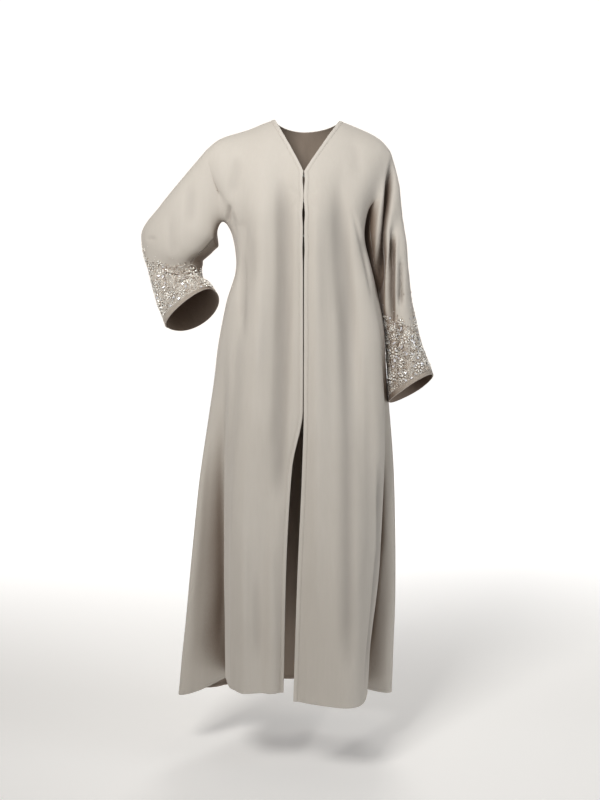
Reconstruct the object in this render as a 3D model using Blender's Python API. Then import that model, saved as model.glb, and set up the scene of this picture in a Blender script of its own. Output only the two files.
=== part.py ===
# Abaya cloak in its worn, hollow form.
# Metres, +Z up, wearer faces -Y, wearer's right is -X.
# Origin: midway between the shoulders at the height of the neck points.
#
# Kimono cut: each front is cut in one with the front half of its sleeve, and
# the back is one piece with both back sleeve halves.  Every panel is a grid in
# two blocks: a skirt block of level rings from hem to armpit, and a yoke block
# of curved sections that fan from the centre front over the shoulder and on
# down the sleeve to the cuff.

import math
import bpy
import numpy as np

for old in list(bpy.data.objects):
    bpy.data.objects.remove(old, do_unlink=True)

# ------------------------------------------------------------------ sizes --
WALL = 0.0015            # cloth wall
SEAM = 0.0003            # clearance left at every seam
BAND_WIDTH = 0.009       # edge band of the fronts and neck
BAND_THICK = 0.0010
CUFF_WIDTH = 0.010       # corded cuff band
CUFF_THICK = 0.0014
SNAP_RADIUS = 0.0038     # press stud halves
SNAP_THICK = 0.0012

RING_TOP_Z = -0.240      # level of the ring that the yoke grows from
RING_HEM_Z = -1.330      # nominal hem level of the ring table
V_POINT_Z = -0.118       # where the V neck closes
# level the yoke starts from at the centre, and how late it climbs to the armpit
YOKE_BASE = {"front": (-0.240, 2.0), "back": (-0.250, 3.0)}
ARMPIT_EASE = {"right": 0.078, "left": 0.115}   # reach of the cloth's easing round each armpit
EASE_PASSES = 22

COLS_FRONT = 15          # columns, centre edge to side seam
COLS_SLEEVE = 13         # columns, armpit to cuff
ROWS_SKIRT = 16
ROWS_CHEST = 4           # yoke rows below the V point
ROWS_NECK = 4            # yoke rows beside the V
COLS_NECK = 3            # back columns under the neckline, each side

# level rings: hull of the body of the garment
#  name      z      right_x  left_x  right_seam_y left_seam_y front_y back_y power
RINGS = (
    ("armpit", -0.24, -0.160, 0.139, -0.030, -0.045, -0.125, 0.115, 2.2),
    ("chest",  -0.32, -0.152, 0.138, -0.038, -0.045, -0.127, 0.112, 2.2),
    ("waist",  -0.42, -0.176, 0.163, -0.030, -0.040, -0.128, 0.110, 2.3),
    ("hip",    -0.55, -0.195, 0.188, -0.010, -0.025, -0.131, 0.115, 2.5),
    ("thigh",  -0.72, -0.197, 0.191,  0.000, -0.005, -0.145, 0.130, 2.8),
    ("knee",   -1.00, -0.193, 0.182,  0.015,  0.008, -0.170, 0.155, 3.0),
    ("hem",    -1.33, -0.188, 0.150,  0.030,  0.020, -0.196, 0.190, 3.0),
)

# where the two front edges stand
#  name       z      right_x   left_x
FRONT_EDGES = (
    ("v_point", -0.118, -0.0025, 0.0010),
    ("chest",   -0.240, -0.0035, 0.0005),
    ("opens",   -0.660, -0.0030, 0.0000),
    ("thigh",   -0.800, -0.0280, -0.0040),
    ("shin",    -1.050, -0.0420, -0.0150),
    ("hem",     -1.330, -0.0480, -0.0240),
)

# hem height against the way round the panel (0 centre, 1 side seam)
#  panel        centre   at_turn  turn  side
HEMS = {
    "front_right": (-1.305, -1.305, 0.45, -1.362),
    "front_left":  (-1.318, -1.326, 0.50, -1.363),
    "back_right":  (-1.390, -1.388, 0.40, -1.362),
    "back_left":   (-1.390, -1.388, 0.40, -1.363),
}

# standing folds of the skirt block, + ridge, - hollow.
# place: way round the hull, 0 centre edge .. 1 side seam, at armpit and hem
# height and width in metres at armpit, hip, knee and hem
#  name            panel          top   hem   w_top  w_hem   armpit   hip     knee    hem
FOLDS = (
    ("side_flare",   "front_right", 1.00, 1.00, 0.040, 0.046,  0.000,  0.010,  0.056,  0.115),
    ("side_flare",   "back_right",  1.00, 1.00, 0.040, 0.070,  0.000,  0.010,  0.056,  0.115),
    ("flare_recess", "front_right", 0.82, 0.78, 0.022, 0.024,  0.000, -0.004, -0.014, -0.026),
    ("side_flare",   "front_left",  1.00, 1.00, 0.035, 0.040,  0.000,  0.000,  0.026,  0.064),
    ("side_flare",   "back_left",   1.00, 1.00, 0.035, 0.070,  0.000,  0.000,  0.026,  0.064),
    ("edge_roll",    "front_right", 0.00, 0.00, 0.030, 0.026,  0.000, -0.001, -0.010, -0.024),
    ("by_opening",   "front_right", 0.20, 0.17, 0.030, 0.022, -0.010, -0.010, -0.006, -0.016),
    ("breast_line",  "front_right", 0.46, 0.30, 0.036, 0.030,  0.008,  0.012,  0.012,  0.010),
    ("waist_line",   "front_right", 0.72, 0.52, 0.024, 0.026, -0.006, -0.009, -0.004,  0.004),
    ("edge_ridge",   "front_left",  0.14, 0.10, 0.024, 0.030,  0.004,  0.007,  0.006,  0.004),
    ("breast_drop",  "front_left",  0.50, 0.44, 0.028, 0.020, -0.010, -0.010, -0.008, -0.004),
    ("front_lobe",   "front_left",  0.36, 0.34, 0.050, 0.062,  0.000,  0.003,  0.024,  0.054),
    ("hip_ridge",    "front_left",  0.76, 0.66, 0.030, 0.026,  0.002,  0.008,  0.008,  0.002),
    ("under_arm",    "back_right",  0.78, 0.78, 0.045, 0.040,  0.012,  0.004,  0.000,  0.000),
    ("under_arm",    "back_left",   0.80, 0.80, 0.040, 0.040,  0.000,  0.000,  0.000,  0.000),
    ("inner_drop",   "back_right",  0.20, 0.16, 0.044, 0.050,  0.000, -0.006, -0.014, -0.022),
    ("long_ridge",   "back_right",  0.42, 0.38, 0.044, 0.052,  0.004,  0.010,  0.018,  0.026),
    ("outer_drop",   "back_right",  0.66, 0.62, 0.038, 0.044,  0.000, -0.008, -0.016, -0.024),
    ("inner_drop",   "back_left",   0.28, 0.30, 0.044, 0.048,  0.000, -0.008, -0.016, -0.020),
    ("long_ridge",   "back_left",   0.50, 0.54, 0.040, 0.048,  0.004,  0.008,  0.020,  0.030),
    ("outer_drop",   "back_left",   0.70, 0.76, 0.034, 0.040,  0.000, -0.006, -0.012, -0.016),
    ("centre_ridge", "back_left",   0.08, 0.06, 0.036, 0.044,  0.000,  0.003,  0.010,  0.014),
)

# folds that lean: cloth moved forward (+) or back (-) along the wearer's depth
# place: way round the hull at armpit and hem; then width, and the move at
# armpit, hip, knee and hem
#  name             panel          top   hem   width  armpit hip    knee    hem
LEANS = (
    ("flare_tip",     "front_right", 1.00, 1.00, 0.040, 0.000, 0.000,  0.022,  0.052),
    ("flare_tip",     "back_right",  1.00, 1.00, 0.060, 0.000, 0.000,  0.022,  0.052),
    ("flare_recess",  "front_right", 0.80, 0.76, 0.034, 0.000, 0.000, -0.034, -0.066),
    ("flare_tip",     "front_left",  1.00, 1.00, 0.036, 0.000, 0.000,  0.008,  0.020),
    ("flare_tip",     "back_left",   1.00, 1.00, 0.056, 0.000, 0.000,  0.008,  0.020),
    ("lobe_recess",   "front_left",  0.82, 0.80, 0.030, 0.000, 0.000, -0.016, -0.034),
)

# shoulder line of the yoke (way: 0 centre .. 1 over the armpit)
#  name         way    x       y      z
SHOULDER = {
    "right": (("centre", 0.00,  0.000, 0.000,  0.014),
              ("neck",   0.30, -0.068, 0.000,  0.003),
              ("slope",  0.56, -0.124, 0.000, -0.018),
              ("tip",    0.84, -0.194, 0.000, -0.042),
              ("arm",    1.00, -0.224, 0.000, -0.066)),
    "left":  (("centre", 0.00,  0.000, 0.000,  0.014),
              ("neck",   0.38,  0.082, 0.000,  0.000),
              ("slope",  0.62,  0.129, 0.000, -0.017),
              ("tip",    0.84,  0.173, 0.000, -0.042),
              ("arm",    1.00,  0.199, 0.000, -0.070)),
}
# how each sleeve half leaves the armpit
#  panel         rise   reach  hold
ROOTS = {
    "front_right": (0.050, 0.010, 0.60),
    "back_right":  (0.055, 0.050, 0.60),
    "front_left":  (0.050, 0.010, 0.60),
    "back_left":   (0.030, 0.030, 0.40),
}
NECK_WAY = {"right": 0.30, "left": 0.38}
BACK_NECK = (0.066, -0.022)      # y and z of the neckline at the centre back

# sleeve stations: under-arm seam point, over-arm seam point, and how far the
# front and back halves swell, with the sag of the back half below the seam
#  name      under x, y, z            over x, y, z             front  back   sag
SLEEVES = {
    "right": (
        ("armpit", -0.160, -0.034, -0.238, -0.224, 0.000, -0.066, 0.046, 0.088, 0.014),
        ("upper",  -0.201, -0.035, -0.262, -0.275, 0.010, -0.125, 0.044, 0.086, 0.022),
        ("middle", -0.236, -0.030, -0.297, -0.333, 0.030, -0.193, 0.042, 0.080, 0.016),
        ("elbow",  -0.262, -0.018, -0.326, -0.379, 0.050, -0.262, 0.042, 0.070, 0.020),
        ("fore",   -0.258, -0.012, -0.348, -0.372, 0.046, -0.312, 0.044, 0.066, 0.020),
        ("wrist",  -0.236, -0.026, -0.362, -0.350, 0.016, -0.392, 0.046, 0.066, 0.010),
        ("cuff",   -0.214, -0.045, -0.384, -0.317, -0.015, -0.476, 0.048, 0.074, 0.000)),
    "left": (
        ("armpit", 0.139, -0.045, -0.170, 0.199, 0.000, -0.070, 0.030, 0.090, 0.000),
        ("upper",  0.158, -0.045, -0.220, 0.218, 0.000, -0.153, 0.034, 0.092, 0.000),
        ("middle", 0.168, -0.035, -0.284, 0.231, 0.005, -0.235, 0.040, 0.086, 0.000),
        ("elbow",  0.178, -0.015, -0.353, 0.242, 0.005, -0.324, 0.050, 0.076, 0.000),
        ("fore",   0.192,  0.000, -0.431, 0.252, 0.000, -0.407, 0.056, 0.064, 0.000),
        ("wrist",  0.204,  0.000, -0.518, 0.270, -0.010, -0.496, 0.058, 0.060, 0.000),
        ("cuff",   0.207, -0.018, -0.651, 0.299, -0.035, -0.583, 0.060, 0.060, 0.000)),
}

# creases of the yoke block: from one (way, up) place to another.
# way 0..1 centre to armpit, 1..2 armpit to cuff; up 0 under-arm .. 1 over-arm
#  name           panel          way_a  up_a  way_b  up_b   width   height
CREASES = (
    ("shoulder_fall", "front_left",  1.02, 0.96, 1.46, 0.10, 0.024, -0.014),
    ("sleeve_drop",   "front_left",  1.40, 0.56, 1.96, 0.40, 0.022, -0.010),
    ("elbow_fold",    "front_right", 1.66, 0.04, 1.72, 0.66, 0.022, -0.010),
    ("shoulder_fall", "back_left",   1.06, 0.90, 1.50, 0.20, 0.026, -0.010),
    ("elbow_fold",    "back_right",  1.64, 0.06, 1.72, 0.66, 0.022, -0.008),
)

# how much lower the back half of each cuff hangs
CUFF_DROOP = {"right": 0.022, "left": 0.004}

# centre of the easing, from the armpit point
ARMPIT_SHIFT = {"right": (-0.010, 0.040, 0.020), "left": (0.010, 0.045, 0.010)}

# press studs, from the V point down
#  name      z
SNAPS = (("snap_1", -0.128), ("snap_2", -0.185), ("snap_3", -0.262))

# ----------------------------------------------------------- small tools --


def column(table, index):
    return np.array([row[index] for row in table], dtype=float)


def smooth_slopes(xs, ys):
    # slopes of a curve that never swings past its own table values
    h = np.diff(xs)
    d = np.diff(ys, axis=0) / (h if ys.ndim == 1 else h[:, None])
    m = np.zeros_like(ys)
    m[0], m[-1] = d[0], d[-1]
    for k in range(1, len(xs) - 1):
        w1, w2 = 2 * h[k] + h[k - 1], h[k] + 2 * h[k - 1]
        same = d[k - 1] * d[k] > 0
        safe_a = np.where(same, d[k - 1], 1.0)
        safe_b = np.where(same, d[k], 1.0)
        m[k] = np.where(same, (w1 + w2) / (w1 / safe_a + w2 / safe_b), 0.0)
    return m


def through(xs, ys, x):
    # smooth curve through a table, for one place or many
    order = np.argsort(xs)
    xs, ys = np.asarray(xs, float)[order], np.asarray(ys, float)[order]
    m = smooth_slopes(xs, ys)
    x = np.clip(np.asarray(x, float), xs[0], xs[-1])
    k = np.clip(np.searchsorted(xs, x, side="right") - 1, 0, len(xs) - 2)
    h = xs[k + 1] - xs[k]
    q = (x - xs[k]) / h
    if ys.ndim == 2:
        h, q = h[..., None], q[..., None]
    return ((2 * q ** 3 - 3 * q ** 2 + 1) * ys[k] + (q ** 3 - 2 * q ** 2 + q) * h * m[k]
            + (-2 * q ** 3 + 3 * q ** 2) * ys[k + 1] + (q ** 3 - q ** 2) * h * m[k + 1])


def ease(q):
    q = np.clip(q, 0.0, 1.0)
    return q * q * (3 - 2 * q)


def unit(v):
    return v / np.maximum(np.linalg.norm(v, axis=-1, keepdims=True), 1e-12)


FOLD_LEVELS = (-1.33, -0.85, -0.52, -0.24)
RING_Z = column(RINGS, 1)


def side_of(panel):
    return panel.split("_")[1]


def ring_curve(panel, z, count=241):
    # one level ring of a panel, from its centre edge to the side seam
    side, front = side_of(panel), panel.startswith("front")
    seam_x = through(RING_Z, column(RINGS, 2 if side == "right" else 3), z)
    seam_y = through(RING_Z, column(RINGS, 4 if side == "right" else 5), z)
    mid_y = through(RING_Z, column(RINGS, 6 if front else 7), z)
    power = through(RING_Z, column(RINGS, 8), z)
    start_x = through(column(FRONT_EDGES, 1),
                      column(FRONT_EDGES, 2 if side == "right" else 3), z) if front else 0.0
    a = np.linspace(0, math.pi / 2, 721)
    x = start_x + (seam_x - start_x) * np.sin(a) ** (2 / power)
    y = seam_y + (mid_y - seam_y) * np.cos(a) ** (2 / power)
    run = np.concatenate([[0], np.cumsum(np.hypot(np.diff(x), np.diff(y)))])
    at = np.linspace(0, run[-1], count)
    x, y = np.interp(at, run, x), np.interp(at, run, y)
    tx, ty = np.gradient(x, at), np.gradient(y, at)
    out = np.stack([ty, -tx], axis=1)
    if side == "right":
        out = -out
    if not front:
        out = -out
    out = unit(out)
    out[0] = (0, -1 if front else 1)
    out[-1] = (-1 if side == "right" else 1, 0)
    way_down = (RING_TOP_Z - z) / (RING_TOP_Z - RING_HEM_Z)
    push = np.zeros(count)
    for name, where, top, hem, w_top, w_hem, h_arm, h_hip, h_knee, h_hem in FOLDS:
        if where != panel:
            continue
        place = (top + (hem - top) * way_down) * run[-1]
        width = w_top + (w_hem - w_top) * way_down
        height = through(FOLD_LEVELS, (h_hem, h_knee, h_hip, h_arm), z)
        bump = height * np.exp(-((at - place) / width) ** 2)
        if top > 0:
            bump = bump * ease(at / 0.03)
        if top < 1:
            bump = bump * ease((run[-1] - at) / 0.03)
        push += bump
    x, y = x + push * out[:, 0], y + push * out[:, 1]
    for name, where, top, hem, width, m_arm, m_hip, m_knee, m_hem in LEANS:
        if where == panel:
            place = (top + (hem - top) * way_down) * run[-1]
            move = through(FOLD_LEVELS, (m_hem, m_knee, m_hip, m_arm), z)
            bump = move * np.exp(-((at - place) / width) ** 2) * ease(at / 0.03)
            y = y - (bump * ease((run[-1] - at) / 0.03) if top < 1 else bump)
    run = np.concatenate([[0], np.cumsum(np.hypot(np.diff(x), np.diff(y)))])
    return x, y, run


def hem_height(panel, way):
    centre, at_turn, turn, side = HEMS[panel]
    way = np.asarray(way, float)
    inner = centre + (at_turn - centre) * ease(way / turn)
    outer = at_turn + (side - at_turn) * ease((way - turn) / (1 - turn))
    return np.where(way < turn, inner, outer)


def ring_top(panel, way):
    z_arm = SLEEVES[side_of(panel)][0][3]
    level, climb = YOKE_BASE["front" if panel.startswith("front") else "back"]
    return level + (z_arm - level) * np.asarray(way, float) ** climb


def skirt(panel, ways, v):
    # points of one skirt row; v 0 hem .. 1 armpit ring
    x, y, run = ring_curve(panel, RING_HEM_Z + (RING_TOP_Z - RING_HEM_Z) * v)
    ways = np.asarray(ways, float)
    at = ways * run[-1]
    low, high = hem_height(panel, ways), ring_top(panel, ways)
    return np.stack([np.interp(at, run, x), np.interp(at, run, y), low + (high - low) * v], axis=1)


def stations(side):
    rows = SLEEVES[side]
    under = np.array([r[1:4] for r in rows])
    over = np.array([r[4:7] for r in rows])
    step = 0.5 * (np.linalg.norm(np.diff(under, axis=0), axis=1)
                  + np.linalg.norm(np.diff(over, axis=0), axis=1))
    way = np.concatenate([[0], np.cumsum(step)]) / step.sum()
    return way, under, over, column(rows, 7), column(rows, 8), column(rows, 9)


def sleeve_frame(side, w):
    way, under, over, front, back, sag = stations(side)
    b, t = through(way, under, w), through(way, over, w)
    eps = 0.02
    lo, hi = np.clip(w - eps, 0, 1), np.clip(w + eps, 0, 1)
    axis = unit((through(way, under, hi) + through(way, over, hi))
                - (through(way, under, lo) + through(way, over, lo)))
    up = unit(t - b)
    fwd = unit(np.cross(up, axis))
    fwd = np.where(fwd[..., 1:2] > 0, -fwd, fwd)
    return (b, t, up, fwd, axis, through(way, front, w), through(way, back, w),
            through(way, sag, w))


def yoke_ends(panel, way):
    # base point, shoulder point and the two handles of each section
    side, front = side_of(panel), panel.startswith("front")
    way = np.atleast_1d(np.asarray(way, float))
    body = np.clip(way, 0, 1)
    arm = np.clip(way - 1, 0, 1)
    line = SHOULDER[side]
    top_body = through(column(line, 1), np.array([r[2:5] for r in line]), body)
    if not front:
        neck = NECK_WAY[side]
        q = np.clip(body / neck, 0, 1)
        n_pt = through(column(line, 1), np.array([r[2:5] for r in line]), np.array([neck]))[0]
        bow = np.stack([n_pt[0] * np.sin(q * math.pi / 2) ** 1.1,
                        BACK_NECK[0] * np.cos(q * math.pi / 2) ** 0.9,
                        n_pt[2] + (BACK_NECK[1] - n_pt[2]) * np.cos(q * math.pi / 2) ** 1.3], axis=1)
        top_body = np.where((body < neck)[:, None], bow, top_body)
    base_body = skirt(panel, body, 1.0)
    b, t, up, fwd, along, k_front, k_back, sag = sleeve_frame(side, arm)
    on_arm = way > 1
    base = np.where(on_arm[:, None], b, base_body)
    top = np.where(on_arm[:, None], t, top_body)
    sign = 1.0 if front else -1.0
    k = (k_front if front else k_back)[:, None] / 0.75
    fade = (1 - ease((way - 1) / 0.30))[:, None]
    rise, reach, hold = ROOTS[panel]
    aside = np.array([-1.0 if side == "right" else 1.0, 0.0, 0.0])
    arm_base = sign * fwd * k * (1 - hold * fade) + fade * (rise * up + reach * aside)
    if not front:
        droop = along * CUFF_DROOP[side] * ease((arm - 0.72) / 0.28)[:, None]
        arm_base = arm_base - up * sag[:, None] / 0.42 * (1 - fade) + droop
    arm_top = sign * fwd * k + (0.0 if front else droop)
    z = np.zeros(len(way))
    if front:
        body_base = np.stack([z, z, z + 0.080], axis=1)
        body_top = np.stack([z, z - 0.055, z - 0.020], axis=1)
    else:
        flat = np.clip(1 - body / NECK_WAY[side], 0, 1)
        body_base = np.stack([z, z + 0.004, z + 0.095], axis=1)
        body_top = np.stack([z, 0.050 - 0.032 * flat, -0.018 - 0.030 * flat], axis=1)
    mix = ease((body - 0.50) / 0.50)[:, None]
    h_base = (1 - mix) * body_base + mix * arm_base
    h_top = (1 - mix) * body_top + mix * arm_top
    return base, top, h_base, h_top


def yoke_plain(panel, way, up):
    base, top, h0, h1 = yoke_ends(panel, way)
    q = np.atleast_1d(np.asarray(up, float))[:, None]
    return ((1 - q) ** 3 * base + 3 * (1 - q) ** 2 * q * (base + h0)
            + 3 * (1 - q) * q ** 2 * (top + h1) + q ** 3 * top)


def crease_lines(panel):
    lines = []
    for name, where, wa, ua, wb, ub, width, height in CREASES:
        if where == panel:
            q = np.linspace(0, 1, 25)
            pts = yoke_plain(panel, wa + (wb - wa) * q, ua + (ub - ua) * q)
            lines.append((pts, q, width, height))
    return lines


def yoke(panel, way, up):
    # points of the yoke block, with its creases
    way, up = np.broadcast_arrays(np.asarray(way, float), np.asarray(up, float))
    flat_way, flat_up = way.ravel(), up.ravel()
    p = yoke_plain(panel, flat_way, flat_up)
    e = 0.01
    dw = (yoke_plain(panel, np.clip(flat_way + e, 0, 2), flat_up)
          - yoke_plain(panel, np.clip(flat_way - e, 0, 2), flat_up))
    du = (yoke_plain(panel, flat_way, np.clip(flat_up + e, 0, 1))
          - yoke_plain(panel, flat_way, np.clip(flat_up - e, 0, 1)))
    out = unit(np.cross(dw, du))
    if (side_of(panel) == "right") == panel.startswith("front"):
        out = -out
    edge = ease(flat_up / 0.06) * ease((1 - flat_up) / 0.06)
    for pts, q, width, height in crease_lines(panel):
        gap = np.linalg.norm(p[:, None, :] - pts[None, :, :], axis=2)
        near = np.argmin(gap, axis=1)
        dist = gap[np.arange(len(p)), near]
        taper = np.sin(np.pi * np.clip(q[near] * 0.9 + 0.05, 0, 1)) ** 0.6
        p = p + out * (height * taper * edge * np.exp(-(dist / width) ** 2))[:, None]
    return p.reshape(way.shape + (3,))


# ------------------------------------------------------------ panel grids --


def solve_v_way(panel, up):
    # where the V neck crosses one yoke row
    side = side_of(panel)
    neck = NECK_WAY[side]
    ways = np.linspace(0, neck, 121)
    pts = yoke_plain(panel, ways, np.full(121, up))
    n_pt = yoke_plain(panel, [neck], [1.0])[0]
    q = np.clip((pts[:, 2] - V_POINT_Z) / (n_pt[2] - V_POINT_Z), 0, 1)
    start = abs(through(column(FRONT_EDGES, 1), column(FRONT_EDGES, 2 if side == "right" else 3),
                        V_POINT_Z))
    line = start + (abs(n_pt[0]) - start) * q ** 1.08
    miss = np.abs(pts[:, 0]) - line
    below = np.where(miss < 0)[0]
    return float(ways[below[-1]]) if len(below) else 0.0


def up_at_v_point(panel):
    ups = np.linspace(0, 1, 401)
    z = yoke_plain(panel, np.zeros(401), ups)[:, 2]
    return float(np.interp(V_POINT_Z, z, ups))


def spread(first, count):
    # column ways: the edge, the band's inner edge, then even steps
    return np.concatenate([[0.0], first + (1 - first) * np.arange(count) / (count - 1)])


def length(points):
    return float(np.linalg.norm(np.diff(points, axis=0), axis=1).sum())


def sleeve_ways(side):
    way, under, over = stations(side)[:3]
    last = 1 - CUFF_WIDTH / (0.5 * (np.linalg.norm(over[-1] - over[-2])
                                    + np.linalg.norm(under[-1] - under[-2]))
                             / (way[-1] - way[-2]))
    return 1 + np.concatenate([last * np.arange(1, COLS_SLEEVE) / (COLS_SLEEVE - 1), [1.0]])


def front_grid(panel):
    side = side_of(panel)
    fine = np.linspace(0, 1, 101)
    grid = {}
    for j in range(ROWS_SKIRT + 1):
        v = j / ROWS_SKIRT
        total = length(skirt(panel, fine, v))
        for i, p in enumerate(skirt(panel, spread(BAND_WIDTH / total, COLS_FRONT), v)):
            grid[i, j] = p
    v_up = up_at_v_point(panel)
    ups = np.concatenate([v_up * np.arange(1, ROWS_CHEST + 1) / ROWS_CHEST,
                          v_up + (1 - v_up) * np.arange(1, ROWS_NECK + 1) / ROWS_NECK])
    for k, up in enumerate(np.concatenate([[0.0], ups])):
        j = ROWS_SKIRT + k
        start = solve_v_way(panel, up) if up > v_up + 1e-6 else 0.0
        if k == len(ups):
            start = NECK_WAY[side]
        body = start + (1 - start) * fine
        total = length(yoke(panel, body, np.full(101, up)))
        ways = start + (1 - start) * spread(BAND_WIDTH / total, COLS_FRONT)
        ways = np.concatenate([ways, sleeve_ways(side)])
        pts = yoke(panel, ways, np.full(len(ways), up))
        for i, p in enumerate(pts):
            if k == 0 and i <= COLS_FRONT:
                continue
            grid[i, j] = p
    return grid


def back_ways(side):
    neck = NECK_WAY[side]
    panel = "front_" + side
    fine = neck + (1 - neck) * np.linspace(0, 1, 101)
    total = length(yoke(panel, fine, np.ones(101)))
    outer = neck + (1 - neck) * spread(BAND_WIDTH / total, COLS_FRONT)
    return np.concatenate([neck * np.arange(COLS_NECK) / COLS_NECK, outer])


def back_half(side):
    panel = "back_" + side
    ways = back_ways(side)
    grid = {}
    for j in range(ROWS_SKIRT + 1):
        for i, p in enumerate(skirt(panel, ways, j / ROWS_SKIRT)):
            grid[i, j] = p
    rows = ROWS_CHEST + ROWS_NECK
    fine = np.linspace(0, 1, 41)
    all_ways = np.concatenate([ways, sleeve_ways(side)])
    for i, way in enumerate(all_ways):
        total = length(yoke(panel, np.full(41, way), fine))
        last = 1 - BAND_WIDTH / total
        ups = np.concatenate([last * np.arange(rows) / (rows - 1), [1.0]])
        pts = yoke(panel, np.full(rows + 1, way), ups)
        for k in range(rows + 1):
            if k == 0 and i < len(ways):
                continue
            grid[i, ROWS_SKIRT + k] = pts[k]
    return grid, len(ways) - 1


def round_key(p):
    return tuple(int(round(c * 20000)) for c in p)


def cells_of(grid):
    return [(i, j) for (i, j) in grid
            if (i + 1, j) in grid and (i, j + 1) in grid and (i + 1, j + 1) in grid]


# ---------------------------------------------------------------- meshing --


def face_normals_to_verts(grid, cells, flip):
    total = {key: np.zeros(3) for key in grid}
    for i, j in cells:
        a, b, c, d = (i, j), (i + 1, j), (i + 1, j + 1), (i, j + 1)
        for tri in ((a, b, c), (a, c, d)):
            n = np.cross(grid[tri[1]] - grid[tri[0]], grid[tri[2]] - grid[tri[0]])
            if flip:
                n = -n
            for key in tri:
                total[key] += n
    return total


def build_object(name, verts, tris, material):
    mesh = bpy.data.meshes.new(name)
    mesh.from_pydata([tuple(float(c) for c in v) for v in verts], [], [tuple(t) for t in tris])
    mesh.materials.append(material)
    mesh.validate()
    mesh.update()
    obj = bpy.data.objects.new(name, mesh)
    bpy.context.scene.collection.objects.link(obj)
    return obj


def wall_object(name, outer, inner, cells, flip, material):
    # closed wall between two copies of a grid
    used = sorted({key for i, j in cells for key in ((i, j), (i + 1, j), (i + 1, j + 1), (i, j + 1))})
    index = {key: n for n, key in enumerate(used)}
    count = len(used)
    verts = [outer[key] for key in used] + [inner[key] for key in used]
    tris, edges = [], {}
    for i, j in cells:
        quad = [(i, j), (i + 1, j), (i + 1, j + 1), (i, j + 1)]
        if flip:
            quad = quad[::-1]
            pair = ((quad[0], quad[1], quad[3]), (quad[1], quad[2], quad[3]))
        else:
            pair = ((quad[0], quad[1], quad[2]), (quad[0], quad[2], quad[3]))
        for tri in pair:
            ids = [index[key] for key in tri]
            tris.append(ids)
            tris.append([n + count for n in reversed(ids)])
        for a, b in zip(quad, quad[1:] + quad[:1]):
            edges[a, b] = edges.get((a, b), 0) + 1
    for (a, b) in edges:
        if (b, a) not in edges:
            ia, ib = index[a], index[b]
            tris.append([ib, ia, ia + count])
            tris.append([ib, ia + count, ib + count])
    return build_object(name, verts, tris, material)


def cloth_material(name, colour, rough):
    mat = bpy.data.materials.new(name)
    mat.use_nodes = True
    shader = mat.node_tree.nodes["Principled BSDF"]
    shader.inputs["Base Color"].default_value = colour + (1.0,)
    shader.inputs["Roughness"].default_value = rough
    return mat


crepe = cloth_material("crepe", (0.56, 0.50, 0.43), 0.85)
edging = cloth_material("edging", (0.52, 0.47, 0.41), 0.80)
beaded = cloth_material("corded_edge", (0.50, 0.45, 0.40), 0.70)
stud_metal = cloth_material("stud_metal", (0.62, 0.61, 0.58), 0.35)
stud_metal.node_tree.nodes["Principled BSDF"].inputs["Metallic"].default_value = 1.0

fronts = {"front_right": front_grid("front_right"), "front_left": front_grid("front_left")}
half_r, last_r = back_half("right")
half_l, last_l = back_half("left")
back = {(-i, j): p for (i, j), p in half_r.items()}
back.update({key: p for key, p in half_l.items()})

grids = {"front_right": fronts["front_right"], "front_left": fronts["front_left"], "back": back}
# a cell order that runs left to right and up faces -Y; the back faces +Y
flips = {"front_right": True, "front_left": False, "back": True}
cells = {name: cells_of(grid) for name, grid in grids.items()}



def ease_armpits():
    # the cloth rounds off where a sleeve leaves the body
    where, ids = {}, {}
    for name, grid in grids.items():
        for key, p in grid.items():
            ids[name, key] = where.setdefault(round_key(p), len(where))
    points = np.zeros((len(where), 3))
    links = [set() for _ in where]
    for name, grid in grids.items():
        for (i, j), p in grid.items():
            here = ids[name, (i, j)]
            points[here] = p
            for near in ((i + 1, j), (i, j + 1)):
                if near in grid:
                    links[here].add(ids[name, near])
                    links[ids[name, near]].add(here)
    pull = np.zeros(len(points))
    for side in ("right", "left"):
        spot = np.array(SLEEVES[side][0][1:4]) + np.array(ARMPIT_SHIFT[side])
        gap = np.linalg.norm(points - spot, axis=1)
        pull = np.maximum(pull, ease(1.4 * (1 - gap / ARMPIT_EASE[side])))
    moving = [n for n in range(len(points)) if pull[n] > 0]
    for _ in range(EASE_PASSES):
        fresh = points.copy()
        for n in moving:
            mean = points[list(links[n])].mean(axis=0)
            fresh[n] = points[n] + (mean - points[n]) * 0.5 * pull[n]
        points = fresh
    for name, grid in grids.items():
        for key in grid:
            grid[key] = points[ids[name, key]]


ease_armpits()

# outward directions, shared across the seams
shared = {}
normals = {}
for name, grid in grids.items():
    normals[name] = face_normals_to_verts(grid, cells[name], flips[name])
    for key, p in grid.items():
        k = round_key(p)
        shared[k] = shared.get(k, np.zeros(3)) + normals[name][key]
for name, grid in grids.items():
    for key, p in grid.items():
        normals[name][key] = unit(shared[round_key(p)])

seam_points = {}
for name, grid in grids.items():
    for key, p in grid.items():
        seam_points.setdefault(round_key(p), set()).add(name)


def inset(name):
    # pull the seam edges in by half the seam clearance
    grid, moved = grids[name], {}
    for key, p in grid.items():
        if len(seam_points[round_key(p)]) < 2:
            moved[key] = p
            continue
        i, j = key
        pull = np.zeros(3)
        for near in ((i + 1, j), (i - 1, j), (i, j + 1), (i, j - 1)):
            if near in grid and len(seam_points[round_key(grid[near])]) < 2:
                pull += unit(grid[near] - p)
        if not pull.any():
            for near in ((i + 1, j + 1), (i - 1, j + 1), (i + 1, j - 1), (i - 1, j - 1)):
                if near in grid:
                    pull += unit(grid[near] - p)
        n = normals[name][key]
        pull = pull - n * np.dot(pull, n)
        moved[key] = p + unit(pull) * SEAM * 0.62
    return moved


panels = {}
for name in ("front_right", "front_left", "back"):
    outer = inset(name)
    inner = {key: outer[key] - normals[name][key] * WALL for key in outer}
    panels[name] = outer
    wall_object(name, outer, inner, cells[name], flips[name], crepe)


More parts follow.
